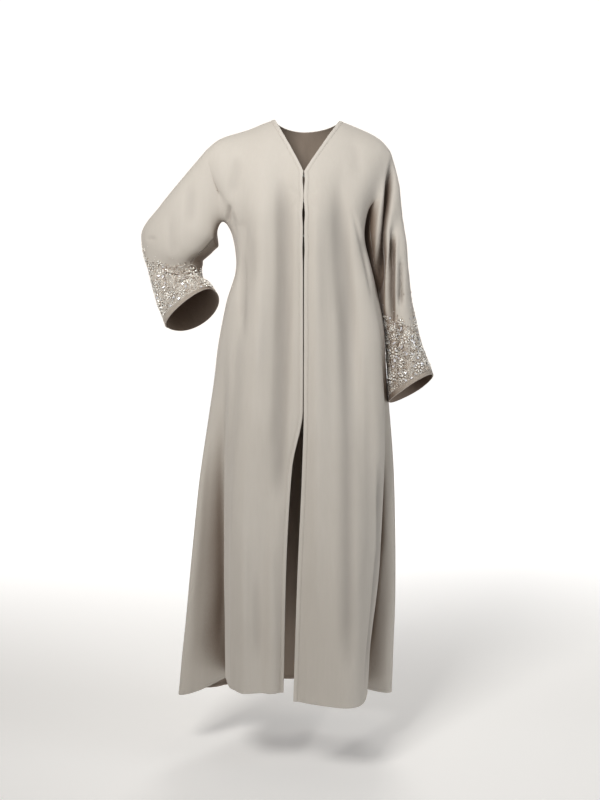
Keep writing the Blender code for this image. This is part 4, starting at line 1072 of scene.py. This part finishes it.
def edge_profile(width, cloth):
    # (way across the band 0..1, height above the panel) round a folded band:
    # out over the edge, along the top with a stitched dip, back underneath
    return ((-0.060, -cloth * 1.2), (-0.085, 0.00025), (-0.050, 0.00085), (0.030, 0.00110),
            (0.200, 0.00115), (0.420, 0.00105), (0.640, 0.00100), (0.740, 0.00085),
            (0.790, 0.00050), (0.840, 0.00085), (0.930, 0.00080), (1.000, 0.00045),
            (1.020, 0.00012), (0.600, 0.00010), (0.100, 0.00010), (0.010, 0.00010),
            (-0.012, -cloth * 1.2))


BAND_CUT = {}            # finished width and length along the middle of each band


def band(name, lines, width, material, profile, closed=False, wobble=0.0):
    # lines: rows of point numbers, from the free edge inwards
    spots = np.array(lines)                     # rows x columns across
    p, n = points[spots], normals[spots]
    count = len(spots)
    ways = np.linspace(0, 1, spots.shape[1])
    loops = []
    middle = p[:, spots.shape[1] // 2]
    if closed:
        middle = np.concatenate([middle, middle[:1]])
    across = float(np.linalg.norm(np.diff(p, axis=1), axis=2).sum(axis=1).mean())
    BAND_CUT[name] = (across, float(np.linalg.norm(np.diff(middle, axis=0), axis=1).sum()))
    run = np.concatenate([[0], np.cumsum(np.linalg.norm(np.diff(p[:, 0], axis=0), axis=1))])
    wave = (np.sin(run / 0.0043) + 0.8 * np.sin(run / 0.0071 + 1.0)) * wobble
    for across, height in profile:
        q = np.clip(across, 0, 1) * (len(ways) - 1)
        k = np.minimum(int(q), len(ways) - 2)
        f = q - k
        base = p[:, k] * (1 - f) + p[:, k + 1] * f
        up = unit(n[:, k] * (1 - f) + n[:, k + 1] * f)
        inward = unit(p[:, 1] - p[:, 0])
        if across < 0 or across > 1:
            base = base + inward * (across - np.clip(across, 0, 1)) * width
        lift = height + (wave if height > 0.0003 else 0.0) * np.ones(count)
        loops.append(base + up * lift[:, None])
    loops = np.array(loops)                     # profile x rows
    m = len(profile)
    verts = loops.reshape(-1, 3)
    faces = []
    rows = count if closed else count - 1
    for a in range(m):
        b = (a + 1) % m
        k = np.arange(rows)
        nxt = (k + 1) % count
        faces.append(np.stack([a * count + k, a * count + nxt, b * count + nxt, b * count + k], axis=1))
    faces = [np.concatenate(faces)]
    if not closed:
        # caps as a fan of quads and one triangle strip
        for end, turn in ((0, 1), (count - 1, -1)):
            ring = np.array([a * count + end for a in range(m)])[::turn]
            fan = np.array([[ring[0], ring[k], ring[k + 1]] for k in range(1, m - 1)])
            faces.append(fan)
    obj = new_object(name, verts, faces, material)
    span = verts[faces[0]]
    size = (np.einsum("ij,ij->i", span[:, 0], np.cross(span[:, 1], span[:, 2])).sum()
            + np.einsum("ij,ij->i", span[:, 0], np.cross(span[:, 2], span[:, 3])).sum())
    if size < 0:
        obj.data.flip_normals()
    return obj


def spline_rows(name, first_col=0):
    grid, h = ids[name], have[name]
    return [[grid[i, j] for i in range(BAND_COLS + 1)] for j in range(grid.shape[1]) if h[0, j]]


bands = {}
for panel in ("front_right", "front_left"):
    bands[panel.replace("front", "front_band")] = band(
        panel.replace("front", "front_band") + "_cloth", spline_rows(panel), BAND_WIDTH, edging,
        edge_profile(BAND_WIDTH, CLOTH), wobble=0.00006)
top = ids["back"].shape[1] - 1
neck_lines = [[ids["back"][i, top - k] for k in range(BAND_COLS + 1)]
              for i in range(MID - NECK_COLS - BAND_COLS, MID + NECK_COLS + BAND_COLS + 1)]
bands["neck_band_back"] = band("neck_band_back_cloth", neck_lines, BAND_WIDTH, edging,
                               edge_profile(BAND_WIDTH, CLOTH), wobble=0.00006)


def cuff_profile(cloth):
    # three corded rows beside a turned edge
    rows = [(-0.100, -cloth * 1.3), (-0.120, 0.0004), (-0.070, 0.0013), (0.020, 0.0017)]
    for k in range(3):
        start = 0.06 + 0.31 * k
        for q, h in ((0.04, 0.0006), (0.09, 0.0013), (0.155, 0.0017), (0.22, 0.0013), (0.27, 0.0006)):
            rows.append((start + q, h))
    rows += [(1.010, 0.00012), (0.600, 0.00010), (0.100, 0.00010), (0.010, 0.00010),
             (-0.030, -cloth * 1.3)]
    return rows


def cuff_ring(side):
    # rows of point numbers round a sleeve end, front half then back half
    front = ids["front_" + side]
    last = front.shape[0] - 1
    sign = -1 if side == "right" else 1
    ring = [[front[last - k, j] for k in range(CUFF_COLS + 1)]
            for j in range(SEAM_ROW, front.shape[1])]
    far = MID + sign * (NECK_COLS + last)
    ring += [[ids["back"][far - sign * k, j] for k in range(CUFF_COLS + 1)]
             for j in range(ids["back"].shape[1] - 2, SEAM_ROW, -1)]
    return ring


for side in ("right", "left"):
    bands["cuff_band_" + side] = band("cuff_band_%s_cloth" % side, cuff_ring(side), CUFF_WIDTH,
                                      corded, cuff_profile(CLOTH), closed=True)
for node_name, piece in bands.items():
    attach(piece, "root")
    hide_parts(node_name)

# ----------------------------------------------------- beads and sequins --
# Sewn on both sleeve ends, all the way round: round flowers of oval beads
# with a pearl in the middle, leaf sprays on seed-bead stems, curls, sequins
# and a filling of seed beads that thins out at an uneven upper edge.

AROUND = 240             # samples round a sleeve
SEED_SIZE = 0.0011       # seed bead radius
#  side     columns  flowers  small  sprays  curls  sequins  filling  reach(m)  uneven
BEADED = {
    "right": (64,     21,      28,    64,     22,    170,     7400,    0.142,    0.012),
    "left":  (74,     20,      28,    70,     20,    420,     8200,    0.158,    0.026),
}
# share of each finish among the filling: pearl, silver, champagne, bronze, sequin
FINISHES = ("pearl", "silver", "champagne", "bronze", "sequin")
# partly painted shade: the left sleeve's filling takes more champagne and bronze than the right's because that sleeve
# lies in deeper shade, while the beads are the same on both; bronze seeds stand for dark-lined beads and partly for
# shade between the beads
FILL_SHARE = {"right": (0.40, 0.26, 0.18, 0.16, 0.0), "left": (0.26, 0.20, 0.32, 0.22, 0.0)}


def turned(profile, sides, squash=1.0):
    # closed turned shape along x from (x, radius) rows; the ends are points
    verts, faces = [(profile[0][0], 0.0, 0.0)], []
    for x, r in profile[1:-1]:
        for k in range(sides):
            a = 2 * math.pi * k / sides
            verts.append((x, r * math.cos(a), r * math.sin(a) * squash))
    verts.append((profile[-1][0], 0.0, 0.0))
    rings = len(profile) - 2
    for k in range(sides):
        j = (k + 1) % sides
        faces.append((0, 1 + j, 1 + k))
        for r in range(rings - 1):
            a, b = 1 + r * sides, 1 + (r + 1) * sides
            faces += [(a + k, a + j, b + j), (a + k, b + j, b + k)]
        end = 1 + (rings - 1) * sides
        faces.append((end + k, end + j, 1 + rings * sides))
    return np.array(verts), np.array(faces)


def disc(sides, edge=0.16, dip=0.10):
    # thin cupped sequin, x and y across, z up
    verts = [(0, 0, edge * 0.5 - dip)]
    verts += [(math.cos(2 * math.pi * k / sides), math.sin(2 * math.pi * k / sides), edge * 0.5)
              for k in range(sides)]
    verts += [(0, 0, -edge * 0.5 - dip)]
    faces = []
    for k in range(sides):
        j = (k + 1) % sides
        faces += [(0, 1 + k, 1 + j), (sides + 1, 1 + j, 1 + k)]
    return np.array(verts), np.array(faces)


SHAPES = {
    "seed":   turned(((-1, 0), (-0.45, 0.90), (0.45, 0.90), (1, 0)), 5),
    "pearl":  turned(tuple((-math.cos(math.pi * k / 7), math.sin(math.pi * k / 7))
                           for k in range(8)), 9),
    "petal":  turned(((-1, 0), (-0.62, 0.66), (0.05, 1.0), (0.66, 0.62), (1, 0)), 6, 0.8),
    "tube":   turned(((-1, 0), (-0.92, 0.8), (0.92, 0.8), (1, 0)), 6),
    "sequin": disc(9),
}


def sleeve_field(side, columns):
    # even samples round each column of a sleeve, counted up from the cuff band
    front, sign = ids["front_" + side], -1 if side == "right" else 1
    last = front.shape[0] - 1
    far = MID + sign * (NECK_COLS + last)
    spots, outs = [], []
    for k in range(CUFF_COLS, CUFF_COLS + columns):
        ring = (list(front[last - k, SEAM_ROW:])
                + list(ids["back"][far - sign * k, SEAM_ROW + 1:-1][::-1]))
        ring.append(ring[0])
        p, n = points[ring], normals[ring]
        run = np.concatenate([[0], np.cumsum(np.linalg.norm(np.diff(p, axis=0), axis=1))])
        at = run[-1] * np.arange(AROUND) / AROUND
        spots.append(np.stack([np.interp(at, run, p[:, a]) for a in range(3)], axis=1))
        outs.append(unit(np.stack([np.interp(at, run, n[:, a]) for a in range(3)], axis=1)))
    return np.array(spots), np.array(outs)


def on_sleeve(field, c, t):
    # place, outward, round and up directions, and metres per unit of t and c
    spots, outs = field
    c = np.clip(np.asarray(c, float), 0, len(spots) - 1.001)
    a = (np.asarray(t, float) % 1.0) * AROUND
    i = np.floor(a).astype(int) % AROUND
    j = (i + 1) % AROUND
    f = (a - np.floor(a))[..., None]
    k = c.astype(int)
    g = (c - k)[..., None]
    low = spots[k, i] * (1 - f) + spots[k, j] * f
    high = spots[k + 1, i] * (1 - f) + spots[k + 1, j] * f
    n = unit((outs[k, i] * (1 - f) + outs[k, j] * f) * (1 - g)
             + (outs[k + 1, i] * (1 - f) + outs[k + 1, j] * f) * g)
    r = spots[k, j] - spots[k, i]
    u = high - low
    step_t = np.linalg.norm(r, axis=-1) * AROUND
    step_c = np.linalg.norm(u, axis=-1)
    up = unit(u - n * np.sum(u * n, axis=-1, keepdims=True))
    side_way = unit(np.cross(up, n))
    side_way = np.where(np.sum(side_way * r, axis=-1, keepdims=True) < 0, -side_way, side_way)
    return low * (1 - g) + high * g, n, side_way, up, step_t, step_c


# a motif is a list of (kind, u, v, angle, half length, half width, finish)


def flower(rng, r):
    spin, petals = rng.uniform(0, 6.28), int(rng.integers(8, 11)) if r > 0.011 else 6
    parts = [("pearl", 0, 0, 0, r * 0.17, r * 0.17, 0)]
    inner = 10 if r > 0.011 else 0
    for k in range(inner):
        a = spin + 2 * math.pi * k / inner
        parts.append(("seed", r * 0.27 * math.cos(a), r * 0.27 * math.sin(a), a, 0.0009, 0.0009, 2))
    for k in range(petals):
        a = spin + 2 * math.pi * (k + 0.5) / petals
        start, end = (0.36, 0.80) if r > 0.011 else (0.26, 0.92)
        m, h = r * (start + end) / 2, r * (end - start) / 2
        parts.append(("petal", m * math.cos(a), m * math.sin(a), a, h,
                      min(0.0024, 2.4 * m / petals * 0.9), 0 if k % 2 else 1))
        if r > 0.011:
            b = a + math.pi / petals
            parts.append(("tube", r * 0.60 * math.cos(b), r * 0.60 * math.sin(b), b, r * 0.14,
                          0.0007, 3))
    if r > 0.011:
        count = int(2 * math.pi * r * 0.93 / 0.0026)
        for k in range(count):
            a = spin + 2 * math.pi * k / count
            parts.append(("seed", r * 0.93 * math.cos(a), r * 0.93 * math.sin(a), a + 1.57,
                          0.0012, 0.0011, 1 if k % 3 else 2))
    return parts


def spray(rng, reach):
    # a curved stem with paired leaves that get smaller to its tip
    turn, bend = rng.uniform(0, 6.28), rng.uniform(-26, 26)
    parts, x, y, a = [], 0.0, 0.0, turn
    steps = int(reach / 0.0022)
    for k in range(steps):
        q = k / steps
        x, y, a = x + 0.0022 * math.cos(a), y + 0.0022 * math.sin(a), a + bend * 0.0022
        parts.append(("seed", x, y, a, 0.0010, 0.0009, 2))
        if k % 2 == 1:
            size = 0.0036 * (1 - 0.55 * q)
            for hand in (-1, 1):
                b = a + hand * 0.75
                parts.append(("petal", x + (size + 0.0009) * math.cos(b),
                              y + (size + 0.0009) * math.sin(b), b, size, size * 0.36,
                              1 if (k // 2) % 2 else 0))
    parts.append(("pearl", x + 0.003 * math.cos(a), y + 0.003 * math.sin(a), a, 0.0016, 0.0016, 0))
    return parts


def curl(rng):
    # seed beads in a small spiral
    spin, hand = rng.uniform(0, 6.28), rng.choice((-1, 1))
    parts, a = [], 0.0
    while a < 8.5:
        r = 0.0016 + 0.00082 * a
        b = spin + hand * a
        parts.append(("seed", r * math.cos(b), r * math.sin(b), b + hand * 1.57, 0.0011, 0.0010, 3 if a < 3 else 1))
        a += 0.0024 / r
    return parts


def beadwork(side):
    columns, flowers, smalls, sprays, curls, sequins, filling, reach, uneven = BEADED[side]
    rng = np.random.default_rng(41 if side == "right" else 77)
    field = sleeve_field(side, columns)
    rise = np.concatenate([[0], np.cumsum(np.linalg.norm(
        np.diff(field[0], axis=0), axis=2).mean(axis=1))])
    phase = rng.uniform(0, 6.28, 4)

    def edge(t):
        # how far up the filling goes, in metres from the cuff band
        a = 2 * math.pi * np.asarray(t)
        return reach + uneven * (0.55 * np.sin(3 * a + phase[0]) + 0.35 * np.sin(7 * a + phase[1])
                                 + 0.30 * np.sin(13 * a + phase[2]))

    taken = []                                   # (place, radius) of the motifs

    def best(radius, low, high, tries=48):
        # the free place that is farthest from every motif so far
        t = rng.uniform(0, 1, tries)
        h = rng.uniform(low, high, tries)
        h = np.minimum(h, edge(t) - radius * 0.4)
        c = np.interp(h, rise, np.arange(len(rise)))
        p, n, r_way, up, st, sc = on_sleeve(field, c, t)
        # even over the true surface: prefer longer spacing where columns fan out
        if taken:
            centres = np.array([q[0] for q in taken])
            radii = np.array([q[1] for q in taken])
            room = (np.linalg.norm(p[:, None] - centres[None], axis=2) - radii[None]).min(axis=1)
        else:
            room = np.ones(tries)
        k = int(np.argmax(room))
        if room[k] < radius * 0.86:
            return None
        taken.append((p[k], radius))
        return c[k], t[k], st[k], sc[k]

    rows = []                                    # kind, c, t, angle, half sizes, finish, lift

    def put(parts, spot):
        c, t, st, sc = spot
        for kind, u, v, a, long, wide, finish in parts:
            rows.append((kind, c + v / sc, t + u / st, a, long, wide, finish, 0.0))

    for count, kind, size, low, high in ((flowers, "flower", (0.0135, 0.0165), 0.018, reach - 0.012),
                                         (smalls, "flower", (0.0075, 0.0090), 0.010, reach),
                                         (sprays, "spray", (0.016, 0.026), 0.008, reach + 0.010),
                                         (curls, "curl", (0.008, 0.009), 0.010, reach)):
        for _ in range(count):
            r = rng.uniform(*size)
            spot = best(r if kind != "spray" else 0.008, low, high)
            if spot is None:
                continue
            put(flower(rng, r) if kind == "flower" else spray(rng, r) if kind == "spray"
                else curl(rng), spot)

    # filling and sequins by rejection against what is already there
    base = np.array([[r[1], r[2]] for r in rows])
    place = on_sleeve(field, base[:, 0], base[:, 1])[0]
    cell = 0.0045
    grid = {}

    def add(p, radius):
        grid.setdefault(tuple(np.floor(p / cell).astype(int)), []).append((p[0], p[1], p[2], radius))

    for p, r in zip(place, rows):
        add(p, min(r[4], 0.0030) * 0.75)

    def free(p, radius, slack):
        i, j, k = (int(v) for v in np.floor(p / cell))
        for a in (i - 1, i, i + 1):
            for b in (j - 1, j, j + 1):
                for c in (k - 1, k, k + 1):
                    for x, y, z, r in grid.get((a, b, c), ()):
                        if ((x - p[0]) ** 2 + (y - p[1]) ** 2 + (z - p[2]) ** 2
                                < (slack * (radius + r)) ** 2):
                            return False
        return True

    tries = filling * 6
    t = rng.uniform(0, 1, tries)
    h = rng.uniform(0.0015, reach + 2.2 * uneven, tries)
    c = np.interp(h, rise, np.arange(len(rise)))
    p, n, r_way, up, st, sc = on_sleeve(field, c, t)
    # density follows the true area, and thins out at the upper edge
    area = st * sc
    mean_rise = np.gradient(rise)[np.clip(c.astype(int), 0, len(rise) - 1)]
    keep = rng.uniform(0, 1, tries) < area / mean_rise / np.percentile(st, 97) * 0.9
    over = (edge(t) - h) / 0.020
    keep &= rng.uniform(0, 1, tries) < np.clip(over, 0.0, 1.0) ** 0.7 + 0.004
    share = np.cumsum(FILL_SHARE[side])
    pick, kinds = rng.uniform(0, 1, tries), rng.uniform(0, 1, tries)
    spin = rng.uniform(0, 6.28, tries)
    sizes = rng.uniform(0.82, 1.18, tries)
    made = 0
    sequin_every = max(1, filling // max(sequins, 1))
    for k in np.nonzero(keep)[0]:
        if made >= filling:
            break
        shiny = made % sequin_every == 0
        radius = 0.0020 if shiny else SEED_SIZE * sizes[k] * (1.5 if kinds[k] > 0.72 else 1.0)
        if not free(p[k], radius, 0.62 if shiny else 0.92):
            continue
        add(p[k], radius * (0.5 if shiny else 1.0))
        finish = int(np.searchsorted(share, pick[k]))
        if shiny:
            rows.append(("sequin", c[k], t[k], spin[k], 0.0025 * sizes[k], 0.0025 * sizes[k], 4, 0.0009))
        elif kinds[k] > 0.72:
            rows.append(("tube", c[k], t[k], spin[k], 0.0024, 0.00085, finish, 0.0))
        else:
            rows.append(("seed", c[k], t[k], spin[k], SEED_SIZE * sizes[k], SEED_SIZE * sizes[k],
                         finish, 0.0))
        made += 1

    # stand the parts on the cloth
    kinds = np.array([r[0] for r in rows])
    table = np.array([r[1:] for r in rows], float)
    inside = (table[:, 0] > 0.15) & (table[:, 0] < columns - 1.2)
    kinds, table = kinds[inside], table[inside]
    p, n, r_way, up, st, sc = on_sleeve(field, table[:, 0], table[:, 1])
    pieces = []
    for tone, finish in enumerate(FINISHES):
        verts, faces, start = [], [], 0
        for kind, (shape, tris) in SHAPES.items():
            mine = np.nonzero((kinds == kind) & (table[:, 5].astype(int) == tone))[0]
            if not len(mine):
                continue
            a = table[mine, 2][:, None]
            along = r_way[mine] * np.cos(a) + up[mine] * np.sin(a)
            out = n[mine]
            if kind == "sequin":
                lean = rng.uniform(-0.42, 0.42, (len(mine), 2))
                out = unit(out + along * lean[:, :1] + np.cross(out, along) * lean[:, 1:])
                along = unit(along - out * np.sum(along * out, axis=1, keepdims=True))
            across = np.cross(out, along)
            long, wide = table[mine, 3][:, None, None], table[mine, 4][:, None, None]
            tall = wide
            lift = np.maximum(table[mine, 6], table[mine, 4] * 0.62)[:, None]
            if kind in ("petal", "tube", "seed"):
                lift = table[mine, 4][:, None] * 0.72
            if kind == "pearl":
                lift = table[mine, 4][:, None] * 0.80
            centre = p[mine] + n[mine] * lift
            v = (centre[:, None] + along[:, None] * shape[None, :, :1] * long
                 + across[:, None] * shape[None, :, 1:2] * wide
                 + out[:, None] * shape[None, :, 2:] * tall)
            faces.append((tris[None] + start + np.arange(len(mine))[:, None, None] * len(shape)).reshape(-1, 3))
            verts.append(v.reshape(-1, 3))
            start += len(mine) * len(shape)
        if not verts:
            continue
        piece = new_object("beads_%s_%s" % (side, finish), np.concatenate(verts), faces,
                           BEAD_MATERIALS[finish], smooth=finish not in ("silver", "sequin", "bronze"))
        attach(piece, "root")
        pieces.append(piece)
    return pieces


BEAD_MATERIALS = {
    "pearl":     shiny_material("bead_pearl", (0.90, 0.86, 0.79), 0.38, 0.0, coat=0.25, vary=0.10, scale=700.0),
    "silver":    shiny_material("bead_silver", (0.90, 0.88, 0.84), 0.34, 0.40, vary=0.15, scale=900.0),
    "champagne": shiny_material("bead_champagne", (0.74, 0.64, 0.54), 0.36, 0.40, vary=0.18, scale=900.0),
    "bronze":    shiny_material("bead_bronze", (0.30, 0.245, 0.20), 0.42, 0.5, vary=0.25, scale=900.0),
    "sequin":    shiny_material("sequin_white", (0.88, 0.88, 0.93), 0.20, 0.35, coat=0.5, vary=0.08, scale=500.0),
}
beads = {side: beadwork(side) for side in ("right", "left")}

# ------------------------------------------------------------- stitching --
STITCH = turned(((-1, 0), (-0.5, 1), (0.5, 1), (1, 0)), 4)
STITCH_STEP, STITCH_LENGTH, STITCH_RADIUS = 0.0032, 0.0023, 0.00030


def stitched(name, lines):
    # lines: (points, outward directions) the thread follows
    shape, tris = STITCH
    verts, faces, start = [], [], 0
    for p, n in lines:
        run = np.concatenate([[0], np.cumsum(np.linalg.norm(np.diff(p, axis=0), axis=1))])
        at = np.arange(STITCH_STEP, run[-1] - STITCH_STEP, STITCH_STEP)
        here = np.stack([np.interp(at, run, p[:, a]) for a in range(3)], axis=1)
        ahead = np.stack([np.interp(at + 0.001, run, p[:, a]) for a in range(3)], axis=1)
        out = unit(np.stack([np.interp(at, run, n[:, a]) for a in range(3)], axis=1))
        along = unit(ahead - here)
        out = unit(out - along * np.sum(out * along, axis=1, keepdims=True))
        side_way = np.cross(along, out)
        v = (here[:, None] + along[:, None] * shape[None, :, :1] * STITCH_LENGTH / 2
             + side_way[:, None] * shape[None, :, 1:2] * STITCH_RADIUS
             + out[:, None] * shape[None, :, 2:] * STITCH_RADIUS)
        verts.append(v.reshape(-1, 3))
        faces.append((tris[None] + start + np.arange(len(at))[:, None, None] * len(shape)).reshape(-1, 3))
        start += len(at) * len(shape)
    piece = new_object(name, np.concatenate(verts), faces, thread)
    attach(piece, "root")
    return piece


def band_line(outer, inner):
    # along a band's stitched dip, 0.79 of the way across it
    p = points[outer] * 0.84 + points[inner] * 0.16
    n = unit(normals[outer] * 0.84 + normals[inner] * 0.16)
    return p + n * 0.00068, n


for name in ("front_right", "front_left"):
    rows = [j for j in range(grids[name].shape[1]) if have[name][0, j]]
    stitched("stitches_" + name, [band_line(ids[name][3, rows], ids[name][4, rows])])
top_cols = list(range(MID - NECK_COLS - BAND_COLS, MID + NECK_COLS + BAND_COLS + 1))
stitched("stitches_neck", [band_line(ids["back"][top_cols, top - 3], ids["back"][top_cols, top - 4])])
hem_lines = []
for name in grids:
    cols = np.nonzero(have[name][:, 0])[0]
    if name != "back":
        cols = cols[BAND_COLS:]
    n = normals[ids[name][cols, 3]]
    hem_lines.append((points[ids[name][cols, 3]] + n * 0.00020, n))
stitched("stitches_hem", hem_lines)


# -------------------------------------------------------- cut of each sheet --


def seen_area(obj):
    # the right side of a panel only
    size = np.zeros(len(obj.data.polygons))
    slot = np.zeros(len(obj.data.polygons), dtype=np.int32)
    obj.data.polygons.foreach_get("area", size)
    obj.data.polygons.foreach_get("material_index", slot)
    return float(size[slot == 0].sum())


PANEL_CUT = {"front_right": (0.72, 1.42), "front_left": (0.70, 1.42), "back": (1.42, 1.44)}
for name, cut in PANEL_CUT.items():
    area = seen_area(cloth[name])
for name, piece in bands.items():
    # the declared rectangle is at least 10 mm wide; the area is the band's own
    across, length = BAND_CUT[name + "_cloth"]

# ------------------------------------------------------------ camera, light --

ROOM_LIGHT = 0.16        # round the sides and the front
WALL_LIGHT = 1.12        # behind the wearer
FLOOR_GLOW = (0.20, 0.85)    # near the garment, and far behind it

camera = bpy.data.objects.new("camera", bpy.data.cameras.new("camera"))
camera.data.lens = 60.75
camera.data.sensor_width = 36
camera.location = (-0.0094, -3.17, -0.248)
camera.rotation_euler = (math.radians(90 - 7.2), 0, 0)
bpy.context.scene.collection.objects.link(camera)
bpy.context.scene.camera = camera


def area_light(name, place, aim, size, power, colour=(1, 1, 1), spread=180):
    lamp = bpy.data.lights.new(name, "AREA")
    lamp.shape, lamp.size, lamp.size_y = "RECTANGLE", size[0], size[1]
    lamp.energy, lamp.color = power, colour
    lamp.spread = math.radians(spread)
    obj = bpy.data.objects.new(name, lamp)
    obj.location = place
    obj.rotation_euler = (Vector(aim) - Vector(place)).to_track_quat("-Z", "Y").to_euler()
    bpy.context.scene.collection.objects.link(obj)
    return obj


area_light("key", (-0.9, -2.1, 1.30), (-0.05, 0.0, -0.12), (0.9, 0.9), 17, (1.0, 0.99, 0.965), 84)
area_light("fill", (2.7, -1.3, 0.0), (0.2, 0, -0.5), (1.2, 1.6), 20, (0.93, 0.97, 1.0))
area_light("behind", (0.3, 3.2, 1.9), (0, 0, -0.5), (1.6, 1.6), 34, (1.0, 0.99, 0.97))
world = bpy.data.worlds.new("studio")
bpy.context.scene.world = world
world.use_nodes = True
sky, sky_links = world.node_tree.nodes, world.node_tree.links
# a bright wall far behind the wearer, and a dimmer room all round
toward = sky.new("ShaderNodeTexCoord")
split = sky.new("ShaderNodeSeparateXYZ")
sky_links.new(toward.outputs["Generated"], split.inputs[0])
wall = sky.new("ShaderNodeMapRange")
wall.interpolation_type = "SMOOTHSTEP"
wall.inputs["From Min"].default_value = 0.78
wall.inputs["From Max"].default_value = 0.93
wall.inputs["To Min"].default_value = ROOM_LIGHT
wall.inputs["To Max"].default_value = WALL_LIGHT
sky_links.new(split.outputs["Y"], wall.inputs["Value"])
sky["Background"].inputs["Color"].default_value = (1.0, 0.955, 0.91, 1)
sky_links.new(wall.outputs["Result"], sky["Background"].inputs["Strength"])

floor_mat, floor_nodes, floor_links, floor_shader = tree_of("floor")
floor_shader.inputs["Base Color"].default_value = (0.90, 0.885, 0.865, 1)
floor_shader.inputs["Emission Color"].default_value = (1.0, 1.0, 1.0, 1)
# the floor fades into the bright wall
ground = floor_nodes.new("ShaderNodeTexCoord")
depth = floor_nodes.new("ShaderNodeSeparateXYZ")
floor_links.new(ground.outputs["Object"], depth.inputs[0])
glow = floor_nodes.new("ShaderNodeMapRange")
glow.interpolation_type = "SMOOTHSTEP"
glow.inputs["From Min"].default_value = 0.2
glow.inputs["From Max"].default_value = 2.8
glow.inputs["To Min"].default_value = FLOOR_GLOW[0]
glow.inputs["To Max"].default_value = FLOOR_GLOW[1]
floor_links.new(depth.outputs["Y"], glow.inputs["Value"])
floor_links.new(glow.outputs["Result"], floor_shader.inputs["Emission Strength"])
floor_shader.inputs["Roughness"].default_value = 0.75
floor = new_object("floor", [(-9, -9, -1.504), (9, -9, -1.504), (9, 9, -1.504), (-9, 9, -1.504)],
                   [np.array([[0, 1, 2, 3]])], floor_mat, smooth=False)
bpy.context.scene.view_settings.view_transform = "Standard"

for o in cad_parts.values():
    if o.name.startswith("snap"):
        o.data.materials.clear()
        o.data.materials.append(stud)
